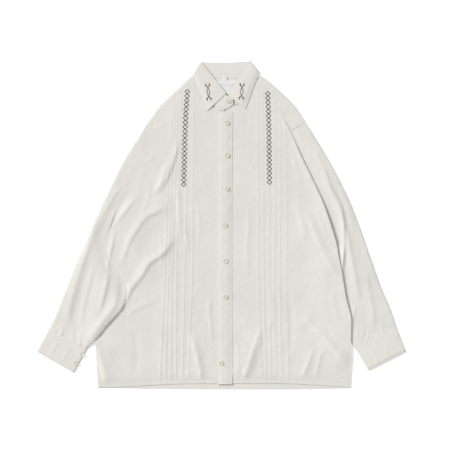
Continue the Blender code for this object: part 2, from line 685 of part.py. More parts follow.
def make_yoke():
    """Back yoke with the strips that come over the shoulders to the front seam."""
    shoulder_left, shoulder_right = curve(SHOULDER_LEFT, YOKE_ROWS), curve(SHOULDER_RIGHT, YOKE_ROWS)
    strip_left, strip_right = curve(STRIP_LEFT, YOKE_ROWS), curve(STRIP_RIGHT, YOKE_ROWS)
    seam = (YOKE_CORNER_LEFT, YOKE_CORNER_RIGHT)
    top_z = LEVEL + WALL
    half = top_z / 2.0
    outer, inner = [], []
    for k in range(YOKE_ROWS + 1):
        t = k / YOKE_ROWS
        fold_a, fold_b = shoulder_left[k], shoulder_right[k]
        strip_a, strip_b = strip_left[k], strip_right[k]
        back = []
        for j in range(YOKE_BACK_COLUMNS + 1):
            u = j / YOKE_BACK_COLUMNS
            high, low = along(BACK_NECK, u), along(seam, u)
            back.append(mix(high, low, t))
        ring_out = [(*strip_a, top_z), (*mix(strip_a, fold_a, 0.5), top_z)]
        ring_in = [(*strip_a, LEVEL), (*mix(strip_a, fold_a, 0.5), LEVEL)]
        lip_a, lip_b = mix(fold_a, strip_a, LIP), mix(fold_b, strip_b, LIP)
        deep_a, deep_b = mix(fold_a, strip_a, LIP_DEEP), mix(fold_b, strip_b, LIP_DEEP)
        ring_out += [(*lip_a, top_z), (*fold_a, half), (*lip_a, 0.0)]
        ring_in += [(*deep_a, LEVEL), (*mix(fold_a, strip_a, LIP_MIDDLE), half), (*deep_a, WALL)]
        ring_out += [(x, y, 0.0) for x, y in back]
        ring_in += [(x, y, WALL) for x, y in back]
        ring_out += [(*lip_b, 0.0), (*fold_b, half), (*lip_b, top_z)]
        ring_in += [(*deep_b, WALL), (*mix(fold_b, strip_b, LIP_MIDDLE), half), (*deep_b, LEVEL)]
        ring_out += [(*mix(strip_b, fold_b, 0.5), top_z), (*strip_b, top_z)]
        ring_in += [(*mix(strip_b, fold_b, 0.5), LEVEL), (*strip_b, LEVEL)]
        outer.append(ring_out)
        inner.append(ring_in)
    return add_wall("yoke", "shirt_cloth", outer, inner)


def strip_ring(section, angle, radius, drop, side):
    """Outer and inner points of one collar section, turned about the fold at the side of the neck."""
    turn = math.radians(angle)
    normal = (math.sin(turn) * side[0], math.sin(turn) * side[1], math.cos(turn))
    outer, inner = [], []
    for fraction in COLLAR_SECTION:
        x, y = mix(section[:2], section[2:], fraction)
        fall = drop * smooth((fraction - DROP_START) / (1.0 - DROP_START))
        middle = (x + normal[0] * radius, y + normal[1] * radius, FOLD_AXIS_Z + normal[2] * (radius - fall))
        outer.append(tuple(m + n * WALL / 2.0 for m, n in zip(middle, normal)))
        inner.append(tuple(m - n * WALL / 2.0 for m, n in zip(middle, normal)))
    return outer, inner


def collar_strip(name, left, back, right, radius, drop):
    """A strip that goes from one front, round the back of the neck, to the other front."""
    left_side, right_side = NECK_SIDES
    rings = [strip_ring(row, FRONT_SIDE, radius, drop, left_side) for row in left]
    for angle in FOLD_ANGLES:
        section = mix(left[-1], back[0], smooth(angle / BACK_SIDE))
        rings.append(strip_ring(section, angle, radius, drop * math.cos(math.radians(angle)), left_side))
    rings += [strip_ring(row, BACK_SIDE, radius, 0.0, left_side) for row in back]
    for angle in reversed(FOLD_ANGLES):
        section = mix(right[0], back[-1], smooth(angle / BACK_SIDE))
        rings.append(strip_ring(section, angle, radius, drop * math.cos(math.radians(angle)), right_side))
    rings += [strip_ring(row, FRONT_SIDE, radius, drop, right_side) for row in right]
    return add_wall(name, "collar_cloth", [r[0] for r in rings], [r[1] for r in rings])


def make_collar():
    collar_strip("collar_stand", STAND_LEFT, STAND_BACK, STAND_RIGHT, STAND_RADIUS, 0.0)
    collar_strip("collar_fall", FALL_LEFT, FALL_BACK, FALL_RIGHT, FALL_RADIUS, FALL_DROP)


def add_button(name, x, y, underside):
    """A turned disc with a raised rim round a shallow dish."""
    data = bpy.data.meshes.new(name)
    radius = BUTTON_DIAMETER / 2.0
    points = [(radius * out * MM, 0.0, BUTTON_THICKNESS * up * MM) for out, up in BUTTON_PROFILE]
    data.from_pydata(points, [(k, k + 1) for k in range(len(points) - 1)], [])
    item = bpy.data.objects.new(name, data)
    item.location = (x * MM, y * MM, underside * MM)
    data.materials.append(bpy.data.materials["button_resin"])
    screw = item.modifiers.new("turn", "SCREW")
    screw.steps = screw.render_steps = BUTTON_STEPS
    screw.use_merge_vertices = True
    screw.merge_threshold = 0.00002
    screw.use_smooth_shade = True
    bpy.data.collections[COLLECTION].objects.link(item)
    return item


def make_buttons():
    for name, x, y, layer in BUTTONS:
        add_button(name, x, y, layer * LEVEL + WALL + BUTTON_GAP)
    wall = WALL + CUFF_WALL_EXTRA
    for name, x, y in CUFF_BUTTONS:
        add_button(name, x, y, 2 * wall + LAYER_GAP + BUTTON_GAP)


def add_label(name, left, right, low, high, underside, thickness):
    mesh = bmesh.new()
    bmesh.ops.create_cube(mesh, size=1.0)
    size = ((right - left) * MM, (high - low) * MM, thickness * MM)
    bmesh.ops.scale(mesh, vec=size, verts=mesh.verts)
    item = add_object(name, "label_cloth", mesh)
    item.location = ((left + right) / 2.0 * MM, (low + high) / 2.0 * MM, (underside + thickness / 2.0) * MM)
    return item


def main():
    clear_scene()
    group = bpy.data.collections.get(COLLECTION) or bpy.data.collections.new(COLLECTION)
    if group.name not in bpy.context.scene.collection.children:
        bpy.context.scene.collection.children.link(group)
    make_materials()
    armhole_left = curve(ARMHOLE_LEFT, ARMHOLE_STEPS)
    armhole_right = curve(ARMHOLE_RIGHT, ARMHOLE_STEPS)
    make_back()
    make_yoke()
    make_fronts(armhole_left, armhole_right)
    make_placket()
    make_sleeve("sleeve_left", SLEEVE_LEFT, SHOULDER_POINT_LEFT, armhole_left, BACK_ARMHOLE_LEFT)
    make_sleeve("sleeve_right", SLEEVE_RIGHT, SHOULDER_POINT_RIGHT, armhole_right, BACK_ARMHOLE_RIGHT)
    make_cuff("cuff_left", CUFF_LEFT)
    make_cuff("cuff_right", CUFF_RIGHT)
    make_collar()
    make_buttons()
    for label in LABELS:
        add_label(*label)


main()
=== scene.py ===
"""Looks of the embroidered shirt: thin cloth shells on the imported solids, sewing, thread, buttons and light.

Tables are in millimetres: X to the viewer's right, Y towards the collar, Z up from the table.
"""

import math

import bmesh
import bpy
import numpy as np
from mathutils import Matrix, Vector, kdtree
from mathutils.bvhtree import BVHTree
from mathutils.geometry import delaunay_2d_cdt


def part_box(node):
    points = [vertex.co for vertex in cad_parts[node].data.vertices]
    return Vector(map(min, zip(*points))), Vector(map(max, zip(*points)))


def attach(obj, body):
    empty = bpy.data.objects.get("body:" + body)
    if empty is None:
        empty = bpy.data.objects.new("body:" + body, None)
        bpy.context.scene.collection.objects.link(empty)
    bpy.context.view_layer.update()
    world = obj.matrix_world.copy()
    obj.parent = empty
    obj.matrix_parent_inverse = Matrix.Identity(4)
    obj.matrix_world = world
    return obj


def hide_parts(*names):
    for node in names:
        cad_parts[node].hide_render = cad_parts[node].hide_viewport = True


MM = 0.001
UP = Vector((0.0, 0.0, 1.0))
DOWN = Vector((0.0, 0.0, -1.0))

# Cloth
CLOTH = 0.6
COLLAR_CLOTH = 1.0
FALL_CLOTH = 0.55
CUFF_CLOTH = 0.9
LABEL_CLOTH = 0.35
GRID = 3.6
FINE_GRID = 2.4
PLACKET_GRID = 2.8
LABEL_GRID = 1.6
BACK_GRID = 5.0
YOKE_GRID = 6.0
BUTTON_GRID = 0.8
ROW_SPACING = 0.87
LEAST_GAP = 0.62
LINE_GAP = 0.9
CURVE_STEP = 3.0
LONG_STEP = 4.0
EDGE_ANGLE = 60.0
UNKNOWN_ROUNDS = 30
FORM_ROUNDS = 9

# Body outlines: x, y
CENTRE_X = 9.0
SIDE_LEFT = (
    (-302, -393), (-304, -365), (-306, -337), (-307, -310), (-308, -283), (-301, -248), (-294, -214),
    (-287, -181), (-280, -148), (-274, -106), (-269, -65), (-269.6, -46), (-279, -29),
)
SIDE_RIGHT = (
    (318, -396), (318, -360), (318, -326), (318, -292), (318, -262), (318, -229), (311.5, -203),
    (305, -177), (299.5, -143), (294, -109), (288, -80), (282.7, -56), (281, -41),
)
FRONT_SIDE_LEFT = SIDE_LEFT[:7] + (
    (-290, -181), (-290, -148), (-292, -106), (-292, -70), (-290, -46), (-279, -29),
)
ARMHOLE_LEFT = (
    (-162, 229), (-163, 205), (-174, 180), (-198, 143), (-228, 79), (-250, 41), (-279, -29),
)
ARMHOLE_RIGHT = (
    (169, 229), (183, 198), (197, 166), (219, 120), (244, 67), (260, 25), (281, -41),
)
BACK_ARMHOLE_LEFT = ((-178, 182), (-192, 138), (-217, 100), (-236, 72), (-256, 36), (-279, -29))
BACK_ARMHOLE_RIGHT = ((200, 182), (209, 130), (230, 80), (256, 22), (281, -41))
NECK_LEFT = ((8.6, 279), (-9, 284), (-22, 292), (-36, 305), (-48, 330), (-57, 354))
NECK_RIGHT = ((9.4, 279), (28, 290), (42, 296), (58, 310), (70, 334), (80, 357))
SEAM_LEFT = ((-57, 354), (-81, 350), (-101, 326), (-125, 301), (-145, 273), (-162, 229))
SEAM_RIGHT = ((80, 357), (97, 352), (107, 338), (119, 319), (136, 296), (147, 279), (157, 253), (169, 229))
HEM_LEFT = ((-302, -398.5), (-240, -397.5), (-168, -393), (-100, -390), (8.6, -389))
HEM_RIGHT = ((318, -399), (284, -396.5), (160, -389.5), (9.4, -389))
HEM_BACK = ((-302, -400), (-150, -403), (9, -404), (193, -404), (318, -401))
HEM_BAND = 9.0
HEM_Z = 1.7
HEM_RAMP = 26.0
HEM_DENT = 0.3
HEM_DENT_WIDTH = 1.4
BAND_STEP = 0.2
BAND_RAMP = 2.0

# Yoke
SHOULDER_LEFT = ((-75, 363), (-103, 336), (-125, 316), (-151, 291), (-170, 265), (-182, 248))
SHOULDER_RIGHT = ((99, 364), (122, 347), (161, 311), (185, 285), (196, 268), (207, 251))
STRIP_LEFT = ((-60, 356.5), (-82, 351.8), (-102, 327.2), (-126, 302), (-146, 273.6), (-163, 229.9))
STRIP_RIGHT = (
    (82, 359.5), (98.5, 354), (108.5, 339), (120.5, 320.2), (137.5, 297.2), (148.5, 280), (170.2, 230),
)

YOKE_SEAM = ((-178, 182), (200, 182))
BACK_NECK = ((-60, 357), (9, 356), (82, 357))
YOKE_MIDDLE_Z = 1.45
YOKE_RADIUS = 1.6

# Strips over the shoulders: fold, front edge, how far left of it the strip runs on under the front, height
STRIPS = ((SHOULDER_LEFT, STRIP_LEFT, 2.5, 2.6), (SHOULDER_RIGHT, STRIP_RIGHT, -2.5, 2.4))

# Placket
PLACKET_LEFT = ((-10, -391), (-12, 0), (-9, 276))
PLACKET_RIGHT = ((27, -391), (26, 0), (28, 276))
PLACKET_STITCH = 4.0
PLACKET_DENT = 0.2
PLACKET_EDGE_Z = 3.7
PLACKET_EDGE_RAMP = 13.0
WAVE_ROWS = range(-380, 270, 17)
WAVE_HEIGHT = 0.28
WAVE_WIDTH = 4.0

# Where the cloth is held flat: under the placket (half width, ramp) and under the collar (lowest y, ramp)
PLACKET_FLAT = (19.0, 14.0)
COLLAR_FLAT = (276.0, 50.0)

# Sleeves and cuffs, outer fold and inner fold from armhole to cuff: x, y
SLEEVE_OUTER_LEFT = (
    (-182, 248), (-238, 159), (-267, 100), (-304, 23), (-334, -45), (-347, -75), (-360, -104),
    (-384, -165), (-406, -222), (-424, -258),
)
SLEEVE_INNER_LEFT = (
    (-279, -29), (-285, -62), (-269, -98), (-240, -132), (-230, -165), (-239, -200), (-253, -219),
    (-280, -248), (-306, -281), (-328, -305),
)
SLEEVE_OUTER_RIGHT = (
    (207, 251), (254, 175), (279, 130), (313, 62), (336, 4), (349, -32), (362, -69), (391, -151),
    (414, -205), (433, -261),
)
SLEEVE_INNER_RIGHT = (
    (281, -41), (285.5, -70), (276, -106), (270, -165), (276, -192), (284, -212), (293, -232),
    (303, -256), (312, -275), (321, -293),
)
CUFF_SEAM_LEFT = ((-424, -258), (-360, -289.5), (-328, -305))
CUFF_SEAM_RIGHT = ((433, -261), (354.7, -283.5), (321, -293))
CUFF_END_LEFT = ((-453, -311), (-391.7, -346.3), (-361, -364))
CUFF_END_RIGHT = ((453, -312), (391.7, -343.3), (361, -359))

# Where the left sleeve runs softly into the front, with the heights of its top and underside
BLEND_WIDTH = 46.0
BLEND_LOW_Y = -205.0
BLEND_RAMP = 50.0
BLEND_Z = (2.6, 2.3)

# Heights that the cloth comes to along its seams, and how far in from the seam
SLEEVE_SEAM_Z = {"sleeve_left": 2.5, "sleeve_right": 1.8}
FRONT_SEAM_Z = 2.68
SEAM_REACH = 14.0
SLEEVE_SEAM_REACH = 36.0
SLEEVE_UNDER = 1.0
BACK_SLEEVE_UNDER = 1.2

# Tubes: no height is read nearer to a fold than the skip, and creases fade out over the ramp
FOLD_SKIP = 4.0
FOLD_RAMP = 14.0
FOLD_SHARE = 0.3
FOLD_LEAST = 0.8
RIM_GAP = 0.5
CUFF_END_SHARE = 0.62
CUFF_END_RAMP = 9.0

# Pintucks, shoulder to hem: x at the yoke, chest, waist and hem
TUCK_Y = (-356, -136, 60)
TUCK_HEIGHT = (0.42, 0.22)
TUCK_STEPS = (-1.9, -0.5, 0.5, 1.9)
TUCK_WIDTH = 1.0
TUCK_FADE = 14.0
TUCK_TOP_GAP = 2.0
TUCK_HEM_GAP = 4.0
TUCK_RISE_Y = (-300.0, 150.0)
HELD_RAMP = 5.0
TUCKS_LEFT = (
    (-68, -70, -72, -81), (-83, -87, -90, -95), (-98, -105, -110, -111), (-106, -115, -122, -124),
    (-113, -123, -130, -137), (-120, -132, -139, -150),
)
TUCKS_RIGHT = (
    (89, 90, 91, 98), (101, 103, 104, 109), (116, 117, 117, 121), (131, 131, 130, 133),
    (144, 145, 143, 147), (156, 160, 160, 164),
)

# Collar: roll_x, roll_y, edge_x, edge_y
FOLD_AXIS_Z = 3.15
COLUMNS = 15
EDGE_COLUMN = 13
EDGE_START = 0.7
EDGE_SHARE = 0.3
BACK_TURN = 1.6
FALL_RADIUS = 2.55
STAND_RADIUS = 0.85
FALL_DROP = 1.7
STAND_DROP = 0.6
ROLL_DROP = 0.6
STAND_BACK_DROP = 1.4
FALL_LEFT = (
    (12, 322, -35, 278), (-4, 342, -44, 300), (-20, 362, -54, 322), (-35, 381, -62, 343),
    (-48, 398, -69, 363),
)
FALL_RIGHT = (
    (69, 400, 92, 369), (58, 384, 84, 349), (44, 363, 76, 328), (29, 341, 68, 306),
    (14.5, 319.5, 59, 282),
)
FALL_BACK = (
    (-48, 398, -69, 363), (-18, 397, -24, 361.5), (9, 396.5, 9, 361), (38, 398, 44, 361.5),
    (69, 400, 92, 369),
)
STAND_LEFT = (
    (28, 311, 29, 293), (13, 317, 14, 284), (1, 329, -3, 280), (-14, 349, -20, 292), (-30, 370, -37, 308),
    (-42, 388, -49, 336), (-46, 395, -56, 358),
)
STAND_BACK = (
    (-46, 395, -56, 358), (-18, 394.5, -22, 353), (9, 394, 9, 351), (38, 395, 42, 353), (66, 396, 77, 360),
)
STAND_RIGHT = (
    (66, 396, 77, 360), (61, 387, 70, 337), (50, 368, 60, 313), (38, 348, 47, 299), (33, 335, 33.5, 294),
)
FOLD_ANGLES = (45.0, 90.0, 135.0)
NECK_SIDES = ((-0.87, 0.49), (0.87, 0.49))

# Creases: height, half width, lean (right-hand side's width over the left's), points along the crest
FRONT_LEFT_CREASES = (
    (1.8, 9, 0.45, ((-158, 68), (-143, 96), (-126, 130), (-112, 172), (-104, 215))),
    (1.2, 5, 0.4, ((-76, 292), (-72, 312), (-69, 334))),
    (1.0, 5, 0.4, ((-93, 312), (-96, 326), (-100, 340))),
    (2.8, 12, 0.42, (
        (-262, -236), (-236, -188), (-222, -160), (-190, -119), (-177, -96), (-137, -66), (-110, -20))),
    (1.9, 7, 0.4, ((-290, -200), (-278, -140), (-275, -94), (-264, -40), (-256, -8))),
    (1.4, 9, 0.5, ((-292, -30), (-263, 0), (-216, 56), (-204, 74))),
    (1.9, 10, 0.5, ((-246, -110), (-228, -50), (-213, -22), (-186, 16), (-160, 30), (-128, 48))),
    (1.5, 8, 0.5, ((-164, 66), (-150, 98), (-134, 138), (-126, 158))),
    (1.1, 7, 0.5, ((-112, 110), (-105, 60), (-103, 10), (-99, -48))),
    (0.9, 5, 0.6, ((-92, 2), (-86, -30), (-79, -74))),
    (2.4, 12, 0.55, ((-318, -252), (-305, -300), (-291, -350), (-276, -410))),
    (2.1, 9, 0.5, ((-74, -262), (-64, -306), (-54, -350), (-46, -400))),
    (1.0, 6, 0.6, ((-32, -170), (-30, -215), (-26, -255), (-22, -300))),
    (0.8, 14, 1.0, ((-170, -200), (-150, -260), (-142, -330), (-136, -384))),
    (-0.8, 9, 1.0, ((-214, -250), (-206, -310), (-212, -380))),
    (0.7, 7, 0.6, ((-196, 20), (-178, 64), (-176, 110))),
    (0.8, 8, 0.7, ((-236, -226), (-196, -200), (-160, -190))),
    (0.6, 6, 0.6, ((-60, 60), (-54, 0), (-56, -60))),
    (0.6, 6, 0.6, ((-152, -20), (-146, -70), (-150, -120))),
    (0.7, 5, 0.5, ((-176, 150), (-166, 178), (-160, 200))),
)
FRONT_RIGHT_CREASES = (
    (1.1, 5, 0.6, ((176, 214), (158, 246), (147, 272), (134, 294), (117, 316), (105, 336), (95, 352))),
    (0.8, 5, 0.6, ((284, -50), (260, 20), (242, 66), (216, 120), (194, 166), (180, 198), (166, 232))),
    (2.2, 11, 0.5, ((100, -246), (86, -286), (72, -328), (58, -372), (54, -404))),
    (1.8, 10, 0.5, ((190, -216), (226, -252), (270, -294), (326, -342))),
    (1.3, 7, 0.5, ((236, -254), (272, -300), (312, -352))),
    (1.3, 7, 0.5, ((226, -300), (214, -332), (194, -382))),
    (1.1, 6, 0.5, ((246, -304), (238, -336), (228, -380))),
    (2.0, 12, 0.6, ((206, 40), (226, -8), (246, -58), (272, -104), (290, -140))),
    (0.9, 8, 0.7, ((180, 60), (196, 10), (206, -50))),
    (-0.8, 10, 1.0, ((150, -140), (168, -200), (172, -260), (160, -330))),
    (0.9, 9, 0.6, ((270, -150), (276, -200), (290, -250))),
    (0.7, 6, 0.6, ((60, 60), (66, 0), (62, -70), (66, -140))),
    (0.7, 7, 0.6, ((120, -150), (124, -210), (118, -270))),
    (0.8, 5, 0.5, ((36, -278), (40, -320), (40, -378))),
    (0.7, 6, 0.6, ((176, 176), (184, 130), (200, 96))),
    (0.6, 6, 0.6, ((226, 40), (244, 4), (258, -40))),
)
SLEEVE_LEFT_CREASES = (
    (2.2, 9, 0.4, ((-302, -232), (-294, -204), (-280, -146), (-270, -94), (-264, -40))),
    (1.8, 11, 0.5, ((-330, -300), (-300, -252), (-262, -200), (-254, -150), (-256, -110))),
    (1.9, 12, 0.6, ((-378, -272), (-372, -214), (-358, -156), (-340, -96), (-322, -40), (-300, 12))),
    (1.1, 8, 0.6, ((-346, -262), (-338, -206), (-322, -140), (-304, -80))),
    (0.9, 7, 0.6, ((-300, 10), (-272, 52), (-244, 100))),
    (1.0, 6, 0.5, ((-286, -20), (-262, 32), (-236, 78))),
    (0.8, 6, 0.6, ((-236, 98), (-218, 130), (-204, 164))),
    (0.9, 4, 0.6, ((-352, -308), (-346, -286), (-344, -262))),
    (0.9, 4, 0.6, ((-338, -318), (-330, -296), (-322, -276))),
    (0.8, 4, 0.6, ((-372, -302), (-364, -276), (-362, -250))),
    (0.7, 4, 0.6, ((-396, -288), (-390, -264), (-388, -240))),
)
SLEEVE_RIGHT_CREASES = (
    (2.8, 11, 0.3, (
        (286, -160), (293, -124), (299, -78), (301, -13), (299, 10), (290, 48), (271, 84), (257, 122),
        (246, 150))),
    (1.6, 4, 0.12, ((288, -150), (296, -115), (301, -78), (302, -13), (296, 40), (284, 70))),
    (1.7, 10, 0.5, ((340, -196), (334, -160), (322, -96), (308, -22), (300, 20))),
    (1.3, 8, 0.5, ((312, -270), (322, -232), (330, -190))),
    (1.0, 8, 0.6, ((374, -262), (372, -216), (362, -160), (350, -100))),
    (1.2, 5, 0.5, ((206, 172), (196, 206), (186, 242))),
    (1.0, 7, 0.6, ((226, 190), (244, 150), (262, 108))),
    (0.9, 8, 0.6, ((288, 96), (310, 40), (326, -20))),
    (0.9, 4, 0.6, ((340, -296), (346, -274), (352, -252))),
    (0.9, 4, 0.6, ((356, -300), (360, -276), (362, -250))),
    (0.8, 4, 0.6, ((326, -300), (334, -276), (338, -258))),
    (0.7, 4, 0.6, ((398, -282), (396, -256), (390, -232))),
)
BACK_CREASES = (
    (0.7, 16, 0.8, ((-200, 60), (-120, -20), (-60, -120))),
    (0.6, 12, 0.8, ((210, 100), (150, 0), (120, -100))),
    (0.7, 14, 0.8, ((-260, -150), (-180, -230), (-150, -320))),
    (0.6, 12, 0.8, ((250, -180), (190, -260), (180, -350))),
    (0.5, 10, 0.8, ((20, 150), (10, 20), (30, -110))),
    (0.6, 14, 0.8, ((-30, -160), (-20, -260), (-50, -370))),
)
SLEEVE_UNDER_CREASES = (
    (0.7, 12, 0.8, ((-250, 80), (-300, -20), (-330, -120))),
    (0.6, 10, 0.8, ((-280, -110), (-310, -200), (-370, -260))),
    (0.7, 12, 0.8, ((250, 100), (300, 10), (330, -90))),
    (0.6, 10, 0.8, ((300, -120), (340, -200), (370, -250))),
)
COLLAR_CREASES = (
    (0.35, 7, 0.7, ((-52, 350), (-40, 330), (-30, 300))),
    (0.3, 6, 0.7, ((60, 350), (52, 330), (54, 300))),
    (0.3, 8, 0.8, ((-20, 340), (-26, 318), (-38, 296))),
)
CUFF_CREASES = (
    (0.5, 5, 0.7, ((-372, -300), (-386, -326), (-392, -342))),
    (0.45, 4, 0.7, ((-402, -288), (-416, -312), (-424, -324))),
    (0.4, 5, 0.7, ((396, -292), (406, -312), (410, -328))),
    (0.45, 4, 0.7, ((366, -300), (378, -322), (388, -340))),
    (-0.5, 5, 1.0, ((330, -310), (346, -330), (366, -352))),
)
PUCKER_LEAN = 0.8
UNEVEN = (1.0, 0.55, 0.8, 0.4, 0.95, 0.65, 0.5, 0.85, 0.45, 0.75)

# Fronts: side, hem, neck edge, shoulder seam, armhole, pintucks, creases, height of the shoulder's puckers
FRONTS = {
    "front_left": (
        FRONT_SIDE_LEFT, HEM_LEFT, NECK_LEFT, SEAM_LEFT, ARMHOLE_LEFT, TUCKS_LEFT, FRONT_LEFT_CREASES, 0.55,
    ),
    "front_right": (
        SIDE_RIGHT, HEM_RIGHT, NECK_RIGHT, SEAM_RIGHT, ARMHOLE_RIGHT, TUCKS_RIGHT, FRONT_RIGHT_CREASES, 0.6,
    ),
}

# Sleeves: outer and inner fold, cuff seam, armhole in front and at the back, creases
SLEEVES = {
    "sleeve_left": (
        SLEEVE_OUTER_LEFT, SLEEVE_INNER_LEFT, CUFF_SEAM_LEFT, ARMHOLE_LEFT, BACK_ARMHOLE_LEFT,
        SLEEVE_LEFT_CREASES,
    ),
    "sleeve_right": (
        SLEEVE_OUTER_RIGHT, SLEEVE_INNER_RIGHT, CUFF_SEAM_RIGHT, ARMHOLE_RIGHT, BACK_ARMHOLE_RIGHT,
        SLEEVE_RIGHT_CREASES,
    ),
}
CUFFS = {"cuff_left": (CUFF_SEAM_LEFT, CUFF_END_LEFT), "cuff_right": (CUFF_SEAM_RIGHT, CUFF_END_RIGHT)}

# Puckers across seams: spacing, reach, height, width
SHOULDER_PUCKERS = (9.0, 12.0)
ARMHOLE_PUCKERS = (13.0, 9.0, 0.4, 2.6)
STRIP_PUCKERS = (8.0, 8.0, 0.5, 2.6)
CUFF_PUCKERS = (7.0, 13.0, 0.8, 2.8)
PUCKER_WIDTH = 2.6

# Buttons
BUTTON_RADIUS = 5.5
BUTTON_HEIGHT = 2.2
BUTTON_PROFILE = (
    (0.64, 0.66), (0.7, 0.74), (0.8, 0.97), (0.88, 1.0), (0.96, 0.86), (1.0, 0.55), (0.86, 0.0),
)
BUTTON_STEPS = 32
HOLE_RADIUS = 0.75
HOLE_OFFSET = 1.25
BUTTON_EDGE_ANGLE = 40.0
BUTTON_THREAD = (0.9, 0.35)
BAR_STEP = 0.2
WELD = 0.01

# Embroidery
LINK_PITCH = 10.8
LINK_HALF_WIDTH = 5.9
THREAD = (2.5, 0.55)
THREAD_SINK = 0.05
THREAD_PITCH = 2.6
LINK_GAP = 0.015
LINK_BASE_Z = 3.0
MOTIF_GAP = 0.02
MOTIF_BASE_Z = 6.3
CHAIN_LEFT = ((-82.5, 331), (-88, 244), (-92, 93))
CHAIN_RIGHT = ((113.5, 326), (116.5, 244), (118.5, 98))
MOTIF_LEFT = ((-33.5, 346), (-29.5, 303))
MOTIF_RIGHT = ((51.5, 347), (49, 305))
MOTIF_HALF_WIDTH = 6.2

# Sewing
STITCH_PITCH = 2.9
STITCH_LENGTH = 2.1
STITCH = (0.55, 0.22)
STITCH_SINK = 0.04
TUCK_STITCH = 1.7
SEAM_STITCH = 2.3
SEAM_STITCH_SINK = 0.14
COLLAR_STITCH = 4.5
CUFF_STITCH_SHARES = (0.07, 0.93)
BACK_HEM_STITCH = 7.5
BAR_FACES = (
    (0, 1, 8), (1, 2, 9, 8), (2, 3, 9), (3, 4, 10, 9), (4, 5, 10), (5, 6, 11, 10), (6, 7, 11), (7, 0, 8, 11),
    (8, 9, 10, 11),
)

# The neck label's upper part, folded up over the neck band's lower edge
LABEL_TOP_Y = 353.5
LABEL_FOLD_Y = 340.5
LABEL_FOLD = 3.5
LABEL_RISE = 1.1
LABEL_SINK = 0.25
LABEL_CURL = 0.2
LABEL_MARGIN = 1.3
LABEL_STITCH = (2.2, 1.5)
LABEL_THREAD = (0.4, 0.15)

# Buttonholes: reach left and right of the button's centre, half width
HOLE_REACH = (11.0, 3.0)
HOLE_HALF_WIDTH = 1.1
HOLE_STITCH = (1.2, 1.0)
HOLE_END_STITCH = (1.1, 1.0)

# Light and camera
SKY = 0.50
# Painted light: the floor's own glow, with no lamp, lightens the shirt's cast shadows on it
PAINTED_FLOOR_GLOW = 0.25
FLOOR_HALF = 6.0
FLOOR_Z = -0.0003

# Suns: name, place, spread in degrees, power
SUNS = (("key", (-2.6, 1.7, 1.9), 20.0, 3.0), ("fill", (0.8, -1.0, 3.0), 60.0, 0.25))
CAMERA_PLACE = (0.02156, -0.01335, 8.0)
VIEW_WIDTH = 1.127
SENSOR = 36.0

# Finishes: name, colour, roughness, thread pitch, thread depth, mottle, sheen, crumple, specular
FINISHES = {
    "shirt_cloth": ("shirt_weave", (0.71, 0.693, 0.655), 0.85, 0.45, 0.05, 0.035, 0.15, 1.4, 0.2),
    "collar_cloth": ("collar_weave", (0.725, 0.705, 0.66), 0.82, 0.45, 0.05, 0.03, 0.15, 0.5, 0.2),
    "label_cloth": ("label_tape", (0.76, 0.765, 0.77), 0.6, 0.8, 0.06, 0.02, 0.2, 0.2, 0.3),
    "button_resin": ("resin", (0.72, 0.695, 0.58), 0.3, 0.0, 0.0, 0.06, 0.0, 0.0, 0.5),
    "thread_white": ("sewing_thread", (0.72, 0.70, 0.66), 0.6, 0.3, 0.05, 0.04, 0.2, 0.0, 0.3),
    "thread_dark": ("charcoal_thread", (0.012, 0.012, 0.015), 0.6, 0.35, 0.06, 0.25, 0.1, 0.0, 0.3),
    "floor": ("pale_floor", (0.975, 0.975, 0.975), 0.9, 0.0, 0.0, 0.004, 0.0, 0.0, 0.1),
}
MATERIALS = {}


def smooth(value):
    value = np.clip(value, 0.0, 1.0)
    return value * value * (3.0 - 2.0 * value)


def mix(a, b, t):
    return tuple(p + (q - p) * t for p, q in zip(a, b))


def spline(points, steps=10):
    """Close points on a smooth curve through the table's points."""
    if len(points) < 3:
        return [mix(points[0], points[-1], k / steps) for k in range(steps + 1)]
    ends = [mix(points[1], points[0], 2.0), *points, mix(points[-2], points[-1], 2.0)]
    fine = []
    for p0, p1, p2, p3 in zip(ends, ends[1:], ends[2:], ends[3:]):
        for k in range(steps):
            t = k / steps
            fine.append(tuple(
                0.5 * (2 * b + (c - a) * t + (2 * a - 5 * b + 4 * c - d) * t * t
                       + (3 * b - a - 3 * c + d) * t ** 3)
                for a, b, c, d in zip(p0, p1, p2, p3)))
    return fine + [tuple(points[-1])]


def even(line, step):
    """The same line with its points about a step apart."""
    line = np.array(line, float)
    run = np.concatenate([[0.0], np.cumsum(np.linalg.norm(np.diff(line, axis=0), axis=1))])
    marks = np.linspace(0.0, run[-1], max(2, round(run[-1] / step) + 1))
    return [tuple(float(np.interp(m, run, line[:, k])) for k in range(line.shape[1])) for m in marks]


def curve(points, step=CURVE_STEP):
    return even(spline(points), step)


def moved(line, amount):
    """The same line moved to its left-hand side by an amount."""
    line = np.array(line, float)
    along = np.gradient(line, axis=0)
    along /= np.linalg.norm(along, axis=1)[:, None]
    return [tuple(p) for p in line + amount * np.stack([-along[:, 1], along[:, 0]], 1)]


def loop(*parts):
    """One closed outline from its parts, each ending where the next one starts."""
    return [p for part in parts for p in part[:-1]]


def inside(points, outline):
    points, outline = np.asarray(points, float), np.asarray(outline, float)
    x, y = points[:, 0], points[:, 1]
    found = np.zeros(len(points), bool)
    for (x0, y0), (x1, y1) in zip(outline, np.roll(outline, -1, axis=0)):
        if y0 != y1:
            found ^= ((y0 > y) != (y1 > y)) & (x < (x1 - x0) * (y - y0) / (y1 - y0) + x0)
    return found


def area_of(outline):
    x, y = np.array(outline, float).T
    return abs(float(np.dot(x, np.roll(y, -1)) - np.dot(y, np.roll(x, -1)))) / 2.0


